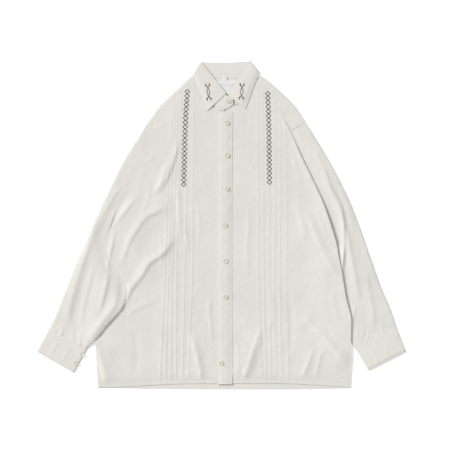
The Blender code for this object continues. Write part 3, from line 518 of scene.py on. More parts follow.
def measure(points, line):
    """Signed distance of points from a line, right-hand side positive, and how far along it they are."""
    line = np.asarray(line, float)
    lengths = np.linalg.norm(np.diff(line, axis=0), axis=1)
    total = max(lengths.sum(), 1e-9)
    best = np.full(len(points), 1e9)
    side, share = np.zeros(len(points)), np.zeros(len(points))
    run = 0.0
    for a, b, length in zip(line, line[1:], lengths):
        if length < 1e-6:
            continue
        d = (b - a) / length
        rel = points - a
        t = np.clip(rel @ d, 0.0, length)
        far = np.linalg.norm(rel - t[:, None] * d, axis=1)
        near = far < best
        best = np.where(near, far, best)
        side = np.where(near, np.sign(rel[:, 0] * d[1] - rel[:, 1] * d[0]), side)
        share = np.where(near, (run + t) / total, share)
        run += length
    return best * side, share


def away(points, *lines):
    """Distance of points from the nearest of the lines."""
    return np.min([np.abs(measure(points, line)[0]) for line in lines], axis=0)


def creases(points, table):
    """Heights that a table of creases adds at each point."""
    total = np.zeros(len(points))
    for height, width, lean, crest in table:
        line = np.array(spline(crest, 5))
        low, high = line.min(0) - 3 * width, line.max(0) + 3 * width
        near = np.all((points > low) & (points < high), axis=1)
        if near.any():
            off, share = measure(points[near], line)
            across = off / np.where(off > 0, width * lean, width)
            total[near] += height * np.exp(-across ** 2) * smooth(share / 0.25) * smooth((1.0 - share) / 0.25)
    return total


def puckers(line, spacing, reach, height, width):
    """Short uneven creases across a seam line, on both sides of it."""
    marks = even(line, spacing)
    table = []
    for k in range(1, len(marks) - 1):
        ahead, behind = np.array(marks[k + 1]), np.array(marks[k - 1])
        along = (ahead - behind) / np.linalg.norm(ahead - behind)
        across = np.array([-along[1], along[0]])
        size = UNEVEN[k % len(UNEVEN)]
        start = np.array(marks[k]) + along * spacing * (UNEVEN[(k + 3) % len(UNEVEN)] - 0.5)
        skew = along * reach * 0.35 * (UNEVEN[(k + 6) % len(UNEVEN)] - 0.6)
        far = across * reach * size
        crest = (tuple(start - far), tuple(start), tuple(start + far + skew))
        table.append((height * size, width, PUCKER_LEAN, crest))
    return tuple(table)


def point_tree(points):
    made = kdtree.KDTree(len(points))
    for k, p in enumerate(points):
        made.insert((*p, 0.0), k)
    made.balance()
    return made


def fill(outline, step, lines=(), holes=()):
    """Points and triangles inside an outline: a staggered grid, with rows of points along the given lines."""
    points, edges = [], []
    for ring in (outline, *holes):
        first = len(points)
        points += list(ring)
        edges += [(first + k, first + (k + 1) % len(ring)) for k in range(len(ring))]
    guard = point_tree(points)
    for line in lines:
        last = None
        for p, keep in zip(line, inside(line, outline)):
            if keep and guard.find((*p, 0.0))[2] > LINE_GAP:
                points.append(p)
                if last is not None:
                    edges.append((last, len(points) - 1))
                last = len(points) - 1
            else:
                last = None
    near = point_tree(points)
    low, high = np.min(outline, axis=0), np.max(outline, axis=0)
    spots = []
    for j in range(int((high[1] - low[1]) / (step * ROW_SPACING)) + 1):
        shift = step * 0.5 * (j % 2)
        for i in range(int((high[0] - low[0]) / step) + 1):
            spots.append((low[0] + shift + i * step, low[1] + (j + 0.5) * step * ROW_SPACING))
    kept = inside(spots, outline)
    points += [p for p, keep in zip(spots, kept) if keep and near.find((*p, 0.0))[2] > LEAST_GAP * step]
    made = delaunay_2d_cdt([Vector(p) for p in points], edges, [], 0, 0.01)
    flat = np.array([tuple(v) for v in made[0]])
    faces = np.array([f for f in made[2] if len(f) == 3])
    keep = inside(flat[faces].mean(axis=1), outline)
    for hole in holes:
        keep &= ~inside(flat[faces].mean(axis=1), hole)
    return flat, faces[keep]


def neighbours(count, faces):
    pairs = np.concatenate([faces[:, [0, 1]], faces[:, [1, 2]], faces[:, [2, 0]]])
    return np.concatenate([pairs[:, 0], pairs[:, 1]]), np.concatenate([pairs[:, 1], pairs[:, 0]])


def relaxed(values, faces, rounds, fixed=None):
    """Values evened out over neighbouring points; fixed ones stay."""
    a, b = neighbours(len(values), faces)
    share = np.maximum(np.bincount(a, minlength=len(values)), 1)
    for _ in range(rounds):
        mean = np.bincount(a, values[b], minlength=len(values)) / share
        values = mean if fixed is None else np.where(fixed, values, mean)
    return values


TREES = {}


def tree(node):
    if node not in TREES:
        TREES[node] = BVHTree.FromObject(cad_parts[node], bpy.context.evaluated_depsgraph_get())
    return TREES[node]


def drop(found, points, direction=DOWN, miss=np.nan):
    """Heights, in millimetres, where rays through the points meet a surface, from above or from below."""
    start = 50.0 if direction is DOWN else -50.0
    heights = []
    for x, y in points:
        spot = found.ray_cast(Vector((x * MM, y * MM, start * MM)), direction)[0]
        heights.append(miss if spot is None else spot.z / MM)
    return np.array(heights)


def form(node, points, faces, direction, skip=None):
    """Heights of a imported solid's top or underside at the points, evened out over its facets."""
    heights = drop(tree(node), points, direction)
    known = ~np.isnan(heights)
    if skip is not None:
        known &= ~skip
    heights = np.where(known, heights, float(np.median(heights[known])))
    heights = relaxed(heights, faces, UNKNOWN_ROUNDS, fixed=known)
    return relaxed(heights, faces, FORM_ROUNDS)


def new_piece(name, points, faces, slot, nodes=(), thickness=None, offset=-1.0, finish=None):
    """A mesh object from points in millimetres, ridden on the body, with a node's place and a finish."""
    data = bpy.data.meshes.new(name)
    data.from_pydata((np.asarray(points) * MM).tolist(), [], [list(map(int, f)) for f in faces])
    data.update()
    data.shade_smooth()
    item = bpy.data.objects.new(name, data)
    bpy.context.scene.collection.objects.link(item)
    if thickness:
        wall = item.modifiers.new("wall", "SOLIDIFY")
        wall.thickness = thickness * MM
        wall.offset = offset
        wall.use_even_offset = False
    data.materials.append(MATERIALS[finish or slot])
    if nodes:
        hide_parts(*nodes)
    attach(item, "root")
    return item


def upwards(flat, faces, up):
    """Faces turned so that they all look up, or all down."""
    a, b, c = flat[faces[:, 0]], flat[faces[:, 1]], flat[faces[:, 2]]
    turn = (b[:, 0] - a[:, 0]) * (c[:, 1] - a[:, 1]) - (b[:, 1] - a[:, 1]) * (c[:, 0] - a[:, 0])
    wrong = (turn < 0) if up else (turn > 0)
    faces = faces.copy()
    faces[wrong] = faces[wrong][:, ::-1]
    return faces


def new_cloth(node, slot, sheets, thickness=CLOTH):
    """A node's cloth from sheets, each given as flat points, heights, triangles and whether it looks up."""
    points = [np.column_stack([flat, z]) for flat, z, _, _ in sheets]
    firsts = np.cumsum([0] + [len(p) for p in points])
    faces = [upwards(flat, tris, up) + first for (flat, _, tris, up), first in zip(sheets, firsts)]
    return new_piece("shell_" + node, np.concatenate(points), np.concatenate(faces), slot, (node,), thickness)


def rounded(rim, radius):
    """How far a fold's round edge has risen, 0 to 1, at a distance in from it."""
    return np.sqrt(np.clip(1.0 - (1.0 - np.clip(rim / radius, 0.0, 1.0)) ** 2, 0.0, 1.0))


def harden(item):
    """The wall's thickness made part of the mesh, so that its cut edges shade as edges."""
    graph = bpy.context.evaluated_depsgraph_get()
    graph.update()
    walled = bpy.data.meshes.new_from_object(item.evaluated_get(graph), depsgraph=graph)
    item.modifiers.clear()
    item.data = walled
    walled.set_sharp_from_angle(angle=math.radians(EDGE_ANGLE))


def declare(item):
    harden(item)


def placket_mask(points):
    """No creases under the placket and the collar, where the cloth is held flat."""
    half_width, side_ramp = PLACKET_FLAT
    low_y, low_ramp = COLLAR_FLAT
    clear = smooth((np.abs(points[:, 0] - CENTRE_X) - half_width) / side_ramp)
    return clear * smooth((low_y - points[:, 1]) / low_ramp)


def tuck_line(stations, top_y, hem_y):
    """A pintuck's crest, from the hem to the yoke."""
    top, chest, waist, hem = stations
    low, mid, high = TUCK_Y
    return curve(((hem, hem_y), (hem, low), (waist, mid), (chest, high), (top, top_y)), LONG_STEP)


def seam_y(seam, x):
    rows = sorted(seam)
    return float(np.interp(x, [r[0] for r in rows], [r[1] for r in rows]))


def hem_line(hem):
    """The upper edge of a front's hem band."""
    return moved(curve(hem), HEM_BAND if hem[0][0] < 0 else -HEM_BAND)


def make_front(name):
    """One front with its pintucks, hem band, folds and creases, and the crests of its tucks."""
    side, hem, neck, seam, hole, tucks, table, pucker_height = FRONTS[name]
    outline = loop(curve(hem), even([hem[-1], neck[0]], LONG_STEP), curve(neck), curve(seam), curve(hole),
                   curve(side)[::-1])
    table += puckers(curve(seam[1:]), *SHOULDER_PUCKERS, pucker_height, PUCKER_WIDTH)
    table += puckers(curve(hole), *ARMHOLE_PUCKERS)
    hem_y = hem[1][1] + TUCK_HEM_GAP
    crests = [tuck_line(tuck, seam_y(seam, tuck[0]) - TUCK_TOP_GAP, hem_y) for tuck in tucks]
    flat, faces = fill(outline, GRID, [moved(crest, step) for crest in crests for step in TUCK_STEPS])
    extra = creases(flat, table) * placket_mask(flat)
    if name == "front_left":
        extra *= smooth(away(flat, SLEEVE_INNER_LEFT[1:]) / HELD_RAMP)
    z = form(name, flat, faces, DOWN) + extra
    rise = np.interp(flat[:, 1], TUCK_RISE_Y, TUCK_HEIGHT)
    for crest in crests:
        fade = smooth((seam_y(seam, crest[-1][0]) - flat[:, 1]) / TUCK_FADE)
        z += rise * np.exp(-(away(flat, crest) / TUCK_WIDTH) ** 2) * fade
    above_hem = flat[:, 1] - np.interp(flat[:, 0], *np.array(sorted(hem), float).T)
    dent = HEM_DENT * np.exp(-(away(flat, hem_line(hem)) / HEM_DENT_WIDTH) ** 2)
    z += (HEM_Z - z) * smooth(1.0 - above_hem / HEM_RAMP) - dent
    z += BAND_STEP * smooth((HEM_BAND - above_hem) / BAND_RAMP)
    if name == "front_left":
        z += (FRONT_SEAM_Z - z) * smooth(1.0 - away(flat, curve(seam), curve(hole)) / SEAM_REACH)
    item = new_cloth(name, "shirt_cloth", [(flat, z, faces, True)])
    declare(item)
    return item, crests


def make_tube(node, slot, folds, seam, holes, tables, thickness, grid=GRID):
    """A flattened tube: a top sheet and an underside that meet at the two folds."""
    over, under = tables
    outer, inner = (curve(fold) for fold in folds)
    sheets, cut = [], 0.0
    for top, hole, blend_z in zip((True, False), holes, BLEND_Z):
        outline = loop(outer, curve(seam), inner[::-1], curve(hole)[::-1])
        cut += area_of(outline)
        flat, tris = fill(outline, grid)
        rim = away(flat, outer, inner)
        high, low = (form(node, flat, tris, direction, rim < FOLD_SKIP) for direction in (DOWN, UP))
        middle = (high + low) / 2.0
        edge = smooth(rim / FOLD_RAMP)
        z = high + creases(flat, over) * edge if top else low + np.maximum(creases(flat, under), 0.0) * edge
        z = middle + (z - middle) * rounded(rim, np.maximum((high - low) * FOLD_SHARE, FOLD_LEAST))
        if node == "sleeve_left":
            share = smooth(1.0 - away(flat, inner) / BLEND_WIDTH)
            z += (blend_z - z) * (share * smooth((flat[:, 1] - BLEND_LOW_Y) / BLEND_RAMP))
        if top and node in SLEEVE_SEAM_Z:
            z += (SLEEVE_SEAM_Z[node] - z) * smooth(1.0 - away(flat, hole) / SLEEVE_SEAM_REACH)
        if node in CUFFS:
            rise = smooth(away(flat, curve(seam)) / CUFF_END_RAMP)
            z *= CUFF_END_SHARE + (1.0 - CUFF_END_SHARE) * rise
        sheets.append((flat, z, tris, top))
    item = new_cloth(node, slot, sheets, thickness)
    mesh = bmesh.new()
    mesh.from_mesh(item.data)
    rim = [v for v in mesh.verts if v.is_boundary]
    bmesh.ops.remove_doubles(mesh, verts=rim, dist=RIM_GAP * MM)
    mesh.to_mesh(item.data)
    mesh.free()
    return item, cut


def make_collar_strip(node, left, back, right, radius, drop_by, thickness, table=()):
    """A strip from one front, round the back of the neck, to the other front."""
    rows = [(*r, 0.0, 0.0) for r in left]
    rows += [(*left[-1], angle, 0.0) for angle in FOLD_ANGLES]
    rows += [(*r, 180.0, k / (len(back) - 1)) for k, r in enumerate(back)]
    rows += [(*right[0], angle, 1.0) for angle in reversed(FOLD_ANGLES)]
    rows += [(*r, 0.0, 1.0) for r in right]
    fine = spline(rows, 6)
    points = []
    for x0, y0, x1, y1, angle, share in fine:
        turn = math.radians(min(180.0, max(0.0, angle)))
        side = NECK_SIDES[0] if share < 0.5 else NECK_SIDES[1]
        for k in range(COLUMNS):
            f = k / (COLUMNS - 1)
            fall = drop_by * float(smooth((f - EDGE_START) / EDGE_SHARE)) * math.cos(turn)
            if node == "collar_fall":
                fall += ROLL_DROP * float(smooth(1.0 - f / EDGE_SHARE)) * math.cos(turn)
            elif turn > BACK_TURN:
                fall += STAND_BACK_DROP * float(smooth((f - 0.5) / 0.5))
            points.append((x0 + (x1 - x0) * f + math.sin(turn) * side[0] * radius,
                           y0 + (y1 - y0) * f + math.sin(turn) * side[1] * radius,
                           FOLD_AXIS_Z + math.cos(turn) * radius - fall))
    points = np.array(points)
    faces = []
    for i in range(len(fine) - 1):
        for k in range(COLUMNS - 1):
            a = i * COLUMNS + k
            faces.append((a, a + 1, a + COLUMNS + 1, a + COLUMNS))
    if table:
        points[:, 2] += creases(points[:, :2], table) * (points[:, 2] > FOLD_AXIS_Z)
    item = new_piece("shell_" + node, points, faces, "collar_cloth", (node,), thickness, 0.0)
    return item, points.reshape(len(fine), COLUMNS, 3)


def strokes(name, slot, parent, segments, size=STITCH, finish="thread_white"):
    """Rounded bars of thread lying on a surface, each between two points with their heights."""
    width, height = size
    points, faces = [], []
    for a, b in segments:
        a, b = np.array(a, float), np.array(b, float)
        along = b - a
        length = max(float(np.linalg.norm(along[:2])), 1e-6)
        side = np.array([-along[1], along[0], 0.0]) / length * width / 2.0
        inset = along * min(0.3, 0.35 * width / length)
        inner_a, inner_b = a + inset, b - inset
        end, ridge = side * 0.4, side * 0.45
        rise = np.array([0.0, 0.0, height])
        first = len(points)
        points += [a - end, inner_a - side, inner_b - side, b - end,
                   b + end, inner_b + side, inner_a + side, a + end,
                   inner_a - ridge + rise, inner_b - ridge + rise,
                   inner_b + ridge + rise, inner_a + ridge + rise]
        faces += [[first + k for k in f] for f in BAR_FACES]
    item = new_piece(name, points, faces, slot, finish=finish)
    item.parent = parent
    return item


def surface(item):
    graph = bpy.context.evaluated_depsgraph_get()
    graph.update()
    return BVHTree.FromObject(item, graph)


def dashes(found, line, pitch=STITCH_PITCH, length=STITCH_LENGTH, sink=STITCH_SINK):
    """Stitches along a line, on the surface under them."""
    marks = even(line, pitch)
    segments = []
    share = length / pitch
    for a, b in zip(marks, marks[1:]):
        b = mix(a, b, share)
        za, zb = drop(found, [a, b])
        if not (math.isnan(za) or math.isnan(zb)):
            segments.append(((*a, za - sink), (*b, zb - sink)))
    return segments


def centre_of(node):
    low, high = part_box(node)
    return (low[0] + high[0]) / 2 / MM, (low[1] + high[1]) / 2 / MM


def make_button(name):
    """A button with a raised rim and four holes, sewn on with crossed thread."""
    x, y = centre_of(name)
    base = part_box(name)[0][2] / MM
    turns = [2 * math.pi * k / BUTTON_STEPS for k in range(BUTTON_STEPS)]
    ring = [(math.cos(turn), math.sin(turn)) for turn in turns]
    holes = []
    for sx, sy in ((1, 1), (-1, 1), (-1, -1), (1, -1)):
        holes.append([(sx * HOLE_OFFSET + HOLE_RADIUS * c, sy * HOLE_OFFSET + HOLE_RADIUS * s)
                      for c, s in ring[::2]])
    dish, dish_z = BUTTON_RADIUS * BUTTON_PROFILE[0][0], BUTTON_PROFILE[0][1] * BUTTON_HEIGHT
    points, faces = [], []
    for radius, z, up in ((dish, dish_z, True), (BUTTON_RADIUS * BUTTON_PROFILE[-1][0], 0.0, False)):
        flat, tris = fill([(radius * c, radius * s) for c, s in ring], BUTTON_GRID, holes=holes)
        tris = upwards(flat, tris, up)
        faces += [tuple(int(v) + len(points) for v in f) for f in tris]
        points += [(px, py, z) for px, py in flat]
    for hole in holes:
        first = len(points)
        for z in (dish_z, 0.0):
            points += [(px, py, z) for px, py in hole]
        n = len(hole)
        faces += [(first + k, first + (k + 1) % n, first + n + (k + 1) % n, first + n + k) for k in range(n)]
    first = len(points)
    for out, up in BUTTON_PROFILE:
        points += [(BUTTON_RADIUS * out * c, BUTTON_RADIUS * out * s, BUTTON_HEIGHT * up) for c, s in ring]
    for j in range(len(BUTTON_PROFILE) - 1):
        for k in range(BUTTON_STEPS):
            n = (k + 1) % BUTTON_STEPS
            a = first + j * BUTTON_STEPS
            faces.append((a + k, a + BUTTON_STEPS + k, a + BUTTON_STEPS + n, a + n))
    points = np.array(points) + np.array([x, y, base])
    item = new_piece(name + "_detail", points, faces, "button_resin", (name,))
    mesh = bmesh.new()
    mesh.from_mesh(item.data)
    bmesh.ops.remove_doubles(mesh, verts=mesh.verts, dist=WELD * MM)
    bmesh.ops.recalc_face_normals(mesh, faces=mesh.faces)
    mesh.to_mesh(item.data)
    mesh.free()
    item.data.set_sharp_from_angle(angle=math.radians(BUTTON_EDGE_ANGLE))
    d, low, high = HOLE_OFFSET, base + dish_z, base + dish_z + BAR_STEP
    bars = [((x - d, y + d, low), (x + d, y - d, low)), ((x - d, y - d, high), (x + d, y + d, high))]
    strokes(name + "_thread", "label_cloth", item, bars, BUTTON_THREAD)


def make_material(name, colour, roughness, weave, weave_depth, mottle, sheen, crumple, specular):
    """A procedural finish: weave or grain bump, colour variation and uneven roughness."""
    material = bpy.data.materials.new(name)
    material.use_nodes = True
    nodes, links = material.node_tree.nodes, material.node_tree.links
    shader = nodes["Principled BSDF"]
    shader.inputs["Sheen Weight"].default_value = sheen
    shader.inputs["Sheen Roughness"].default_value = 0.4
    shader.inputs["Specular IOR Level"].default_value = specular
    place = nodes.new("ShaderNodeTexCoord").outputs["Object"]

    def node(kind, output, inputs):
        """One output of a new node, whose inputs are linked or set."""
        made = nodes.new("ShaderNode" + kind)
        for key, value in inputs.items():
            if isinstance(value, bpy.types.NodeSocket):
                links.new(value, made.inputs[key])
            else:
                made.inputs[key].default_value = value
        return made.outputs[output]

    def noise(scale, detail, stretch=(1.0, 1.0, 1.0)):
        mapped = node("Mapping", "Vector", {"Vector": place, "Scale": stretch})
        return node("TexNoise", "Fac", {"Scale": scale, "Detail": detail, "Vector": mapped})

    def ramp(value, low, high):
        ends = {"From Min": 0.3, "From Max": 0.7, "To Min": low, "To Max": high}
        return node("MapRange", "Result", {"Value": value, **ends})

    def maths(kind, a, b):
        made = node("Math", "Value", {0: a, 1: b})
        made.node.operation = kind
        return made

    grain = noise(260.0, 3.0)
    shade = nodes.new("ShaderNodeMix")
    shade.data_type = "RGBA"
    warm = tuple(min(1.0, c * (1.0 + mottle * w)) for c, w in zip(colour, (1.0, 0.7, 0.1)))
    cool = tuple(c * (1.0 - mottle * w) for c, w in zip(colour, (1.1, 1.0, 0.7)))
    shade.inputs[6].default_value = (*cool, 1.0)
    shade.inputs[7].default_value = (*warm, 1.0)
    cloud = maths("ADD", maths("MULTIPLY", noise(9.0, 2.0), 0.75), maths("MULTIPLY", grain, 0.25))
    links.new(ramp(cloud, 0.0, 1.0), shade.inputs[0])
    links.new(shade.outputs[2], shader.inputs["Base Color"])
    links.new(ramp(grain, roughness - 0.06, roughness + 0.06), shader.inputs["Roughness"])
    height = maths("MULTIPLY", noise(700.0, 2.0), 0.00004)
    if weave:
        scale = 2.0 * math.pi / (20.0 * weave * MM)
        threads = {"Scale": scale, "Distortion": 0.6, "Detail": 1.0, "Vector": place}
        bands = []
        for direction in ("X", "Y"):
            bands.append(node("TexWave", "Fac", threads))
            bands[-1].node.bands_direction = direction
        slub = maths("ADD", noise(1.0, 2.0, (30.0, 900.0, 30.0)), noise(1.0, 2.0, (900.0, 30.0, 30.0)))
        height = maths("ADD", height, maths("MULTIPLY", maths("MULTIPLY", *bands), weave_depth * MM))
        height = maths("ADD", height, maths("MULTIPLY", slub, weave_depth * 0.6 * MM))
    if crumple:
        soft = maths("ADD", noise(22.0, 3.0), maths("MULTIPLY", noise(60.0, 2.0), 0.35))
        height = maths("ADD", height, maths("MULTIPLY", soft, crumple * MM))
    bump = node("Bump", "Normal", {"Distance": 1.0, "Strength": 1.0, "Height": height})
    links.new(bump, shader.inputs["Normal"])
    return material


def make_stage():
    """The floor, glowing faintly as painted light that lightens the shadows cast on it, an even sky, two suns
    and a camera straight above.
    """
    data = bpy.data.meshes.new("floor")
    s = FLOOR_HALF
    data.from_pydata([(-s, -s, 0.0), (s, -s, 0.0), (s, s, 0.0), (-s, s, 0.0)], [], [(0, 1, 2, 3)])
    floor = bpy.data.objects.new("floor", data)
    data.materials.append(MATERIALS["floor"])
    bpy.context.scene.collection.objects.link(floor)
    floor.location.z = FLOOR_Z
    # Painted light: the floor glows by itself so that the shadows cast on it come out faint
    floor_painted_glow = MATERIALS["floor"].node_tree.nodes["Principled BSDF"]
    floor_painted_glow.inputs["Emission Color"].default_value = (1.0, 1.0, 1.0, 1.0)
    floor_painted_glow.inputs["Emission Strength"].default_value = PAINTED_FLOOR_GLOW
    world = bpy.data.worlds.new("studio")
    bpy.context.scene.world = world
    world.use_nodes = True
    world.node_tree.nodes["Background"].inputs["Color"].default_value = (1.0, 1.0, 1.0, 1.0)
    world.node_tree.nodes["Background"].inputs["Strength"].default_value = SKY
    for name, place, spread, power in SUNS:
        light = bpy.data.lights.new(name, "SUN")
        light.angle = math.radians(spread)
        light.energy = power
        item = bpy.data.objects.new(name, light)
        item.location = place
        item.rotation_mode = "QUATERNION"
        item.rotation_quaternion = (-Vector(place)).to_track_quat("-Z", "Y")
        bpy.context.scene.collection.objects.link(item)
    bpy.context.scene.view_settings.view_transform = "Standard"
    camera = bpy.data.cameras.new("camera")
    camera.sensor_width = SENSOR
    camera.lens = SENSOR * CAMERA_PLACE[2] / VIEW_WIDTH
    item = bpy.data.objects.new("camera", camera)
    item.location = CAMERA_PLACE
    bpy.context.scene.collection.objects.link(item)
    bpy.context.scene.camera = item


def make_fronts():
    pieces, crests = {}, {}
    for name in FRONTS:
        pieces[name], crests[name] = make_front(name)
    return pieces, crests


def make_back():
    outline = loop(curve(HEM_BACK), even(SIDE_RIGHT, LONG_STEP), curve(BACK_ARMHOLE_RIGHT)[::-1],
                   even(YOKE_SEAM[::-1], LONG_STEP), curve(BACK_ARMHOLE_LEFT), curve(SIDE_LEFT)[::-1])
    flat, faces = fill(outline, BACK_GRID)
    z = form("back", flat, faces, UP) + CLOTH + np.maximum(creases(flat, BACK_CREASES), 0.0)
    item = new_cloth("back", "shirt_cloth", [(flat, z, faces, True)])
    declare(item)
    return item


def make_yoke():
    """The yoke inside the neck, with a strip over each shoulder."""
    table = puckers(curve(STRIP_LEFT[1:]), *STRIP_PUCKERS) + puckers(curve(STRIP_RIGHT[1:]), *STRIP_PUCKERS)
    parts = []
    for fold, strip, under, level in STRIPS:
        outline = loop(curve(fold), even([fold[-1], strip[-1]], CURVE_STEP), moved(curve(strip), under)[::-1],
                       even([strip[0], fold[0]], CURVE_STEP))
        parts.append((outline, level, GRID, table))
    left, right = YOKE_SEAM
    outline = loop(curve(SHOULDER_LEFT), even([SHOULDER_LEFT[-1], left], LONG_STEP),
                   even([left, right], LONG_STEP), even([right, SHOULDER_RIGHT[-1]], LONG_STEP),
                   curve(SHOULDER_RIGHT)[::-1],
                   even([SHOULDER_RIGHT[0], BACK_NECK[-1]], CURVE_STEP), curve(BACK_NECK)[::-1],
                   even([BACK_NECK[0], SHOULDER_LEFT[0]], CURVE_STEP))
    parts.append((outline, CLOTH, YOKE_GRID, ()))
    sheets, cut = [], 0.0
    for outline, level, grid, table in parts:
        cut += area_of(outline)
        flat, tris = fill(outline, grid)
        round_off = rounded(away(flat, curve(SHOULDER_LEFT), curve(SHOULDER_RIGHT)), YOKE_RADIUS)
        z = YOKE_MIDDLE_Z + (level - YOKE_MIDDLE_Z + creases(flat, table)) * round_off
        sheets.append((flat, z, tris, True))
    item = new_cloth("yoke", "shirt_cloth", sheets)
    declare(item)
    return item


def make_placket():
    """The placket with soft waves across it, and its two lines of stitching."""
    left, right = curve(PLACKET_LEFT), curve(PLACKET_RIGHT)[::-1]
    outline = loop(left, even([left[-1], right[0]], 2.0), right, even([right[-1], left[0]], 2.0))
    stitch = [moved(line, -PLACKET_STITCH) for line in (left, right)]
    flat, faces = fill(outline, PLACKET_GRID, stitch)
    waves = []
    for k, y in enumerate(WAVE_ROWS):
        size = UNEVEN[k % len(UNEVEN)]
        side = 1 if k % 2 else -1
        crest = ((CENTRE_X + side * 20, y + 3), (CENTRE_X + side * 8, y), (CENTRE_X - side * 4, y - 6 * size))
        waves.append((WAVE_HEIGHT * size, WAVE_WIDTH, PUCKER_LEAN, crest))
    z = form("placket", flat, faces, DOWN) + creases(flat, waves)
    z = PLACKET_EDGE_Z + (z - PLACKET_EDGE_Z) * smooth(away(flat, left, right) / PLACKET_EDGE_RAMP)
    for line in stitch:
        z -= PLACKET_DENT * np.exp(-away(flat, line) ** 2)
    item = new_cloth("placket", "shirt_cloth", [(flat, z, faces, True)])
    declare(item)
    return item, stitch


def make_sleeves():
    """The sleeves and the cuffs."""
    made = {}
    for name, (outer, inner, seam, hole, back_hole, table) in SLEEVES.items():
        sign = 1.0 if outer[0][0] > 0 else -1.0
        front = even([outer[0], hole[0]], CURVE_STEP)[:-1] + curve(hole)
        back = curve((outer[0], *back_hole))
        holes = (moved(front, -SLEEVE_UNDER * sign), moved(back, BACK_SLEEVE_UNDER * sign))
        tables = (table + puckers(curve(seam), *CUFF_PUCKERS), SLEEVE_UNDER_CREASES)
        made[name], cut = make_tube(name, "shirt_cloth", (outer, inner), seam, holes, tables, CLOTH)
        declare(made[name])
    for name, (seam, end) in CUFFS.items():
        folds = ((seam[0], end[0]), (seam[-1], end[-1]))
        made[name], cut = make_tube(name, "collar_cloth", folds, end, (seam, seam), (CUFF_CREASES, ()),
                                    CUFF_CLOTH, FINE_GRID)
        declare(made[name])
    return made


def make_collar():
    """The neck band and the turned-down collar, with the collar's grid of points."""
    stand, _ = make_collar_strip("collar_stand", STAND_LEFT, STAND_BACK, STAND_RIGHT, STAND_RADIUS,
                                 STAND_DROP, COLLAR_CLOTH)
    declare(stand)
    fall, grid = make_collar_strip("collar_fall", FALL_LEFT, FALL_BACK, FALL_RIGHT, FALL_RADIUS, FALL_DROP,
                                   FALL_CLOTH, COLLAR_CREASES)
    declare(fall)
    return fall, grid


def ring_of(x0, y0, x1, y1):
    return [(x0, y0), (x1, y0), (x1, y1), (x0, y1), (x0, y0)]


def make_labels():
    """The bare neck label and size tab, stitched down all round."""
    for name in ("neck_label", "size_tab"):
        low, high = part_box(name)
        x0, y0, x1, y1 = (v / MM for v in (low[0], low[1], high[0], high[1]))
        if name == "neck_label":
            y1 = LABEL_TOP_Y
        ring = ring_of(x0, y0, x1, y1)
        outline = loop(*(even(side, 1.0) for side in zip(ring, ring[1:])))
        flat, faces = fill(outline, LABEL_GRID)
        z = high[2] / MM - LABEL_SINK + LABEL_CURL * np.sin((flat[:, 0] - x0) / (x1 - x0) * math.pi)
        if name == "neck_label":
            z += LABEL_RISE * smooth((flat[:, 1] - LABEL_FOLD_Y) / LABEL_FOLD)
        item = new_cloth(name, "label_cloth", [(flat, z, faces, True)], LABEL_CLOTH)
        declare(item)
        found = surface(item)
        m = LABEL_MARGIN
        edge = ring_of(x0 + m, y0 + m, x1 - m, y1 - m)[::-1]
        segments = [s for side in zip(edge, edge[1:]) for s in dashes(found, side, *LABEL_STITCH)]
        strokes("stitch_" + name, "label_cloth", item, segments, LABEL_THREAD)


def embroidered(found, path, gap, miss):
    """Stitches along each side of a path, with gaps between them given as a share of the side."""
    segments = []
    for p, q in zip(path, path[1:]):
        steps = max(1, round(math.dist(p, q) / THREAD_PITCH))
        for k in range(steps):
            s, e = mix(p, q, k / steps + gap), mix(p, q, (k + 1) / steps - gap)
            zs, ze = drop(found, [s, e], miss=miss)
            segments.append(((*s, zs - THREAD_SINK), (*e, ze - THREAD_SINK)))
    return segments


def chain_segments(found, ends):
    """A chain of open diamonds, each side sewn in three stitches."""
    marks = even(curve(ends, 1.0), LINK_PITCH)
    segments = []
    for a, b in zip(marks, marks[1:]):
        a, b = np.array(a), np.array(b)
        along = (b - a) / np.linalg.norm(b - a)
        across = np.array([-along[1], along[0]])
        middle = (a + b) / 2.0
        corners = [a, middle + across * LINK_HALF_WIDTH, b, middle - across * LINK_HALF_WIDTH, a]
        segments += embroidered(found, corners, LINK_GAP, LINK_BASE_Z)
    return segments


def motif_segments(found, ends):
    """A collar motif: an arrow with two legs, an open diamond, and the arrow mirrored."""
    top, bottom = np.array(ends[0]), np.array(ends[1])
    length = np.linalg.norm(top - bottom)
    down = (bottom - top) / length
    across = np.array([-down[1], down[0]])

    def at(u, v):
        return tuple(top + down * u * length + across * v * MOTIF_HALF_WIDTH)
    paths = []
    for flip in (False, True):
        g = (lambda u: 1.0 - u) if flip else (lambda u: u)
        for side in (-1.0, 1.0):
            paths += [[at(g(0.0), 0.80 * side), at(g(0.15), 0.55 * side), at(g(0.25), 0.0)],
                      [at(g(0.10), 1.10 * side), at(g(0.17), 0.60 * side)]]
    paths.append([at(0.25, 0.0), at(0.5, 0.62), at(0.75, 0.0), at(0.5, -0.62), at(0.25, 0.0)])
    return [s for path in paths for s in embroidered(found, path, MOTIF_GAP, MOTIF_BASE_Z)]


def buttonholes(found):
    """Whipped edges of the buttonholes that reach out from under the placket's buttons."""
    segments = []
    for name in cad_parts:
        if name.startswith("button_") and name[-1].isdigit() and "cuff" not in name:
            x, y = centre_of(name)
            left, right = x - HOLE_REACH[0], x + HOLE_REACH[1]
            low, high = y - HOLE_HALF_WIDTH, y + HOLE_HALF_WIDTH
            for edge in (low, high):
                segments += dashes(found, [(left, edge), (right, edge)], *HOLE_STITCH)
            segments += dashes(found, [(left, low), (left, high)], *HOLE_END_STITCH)
    return segments


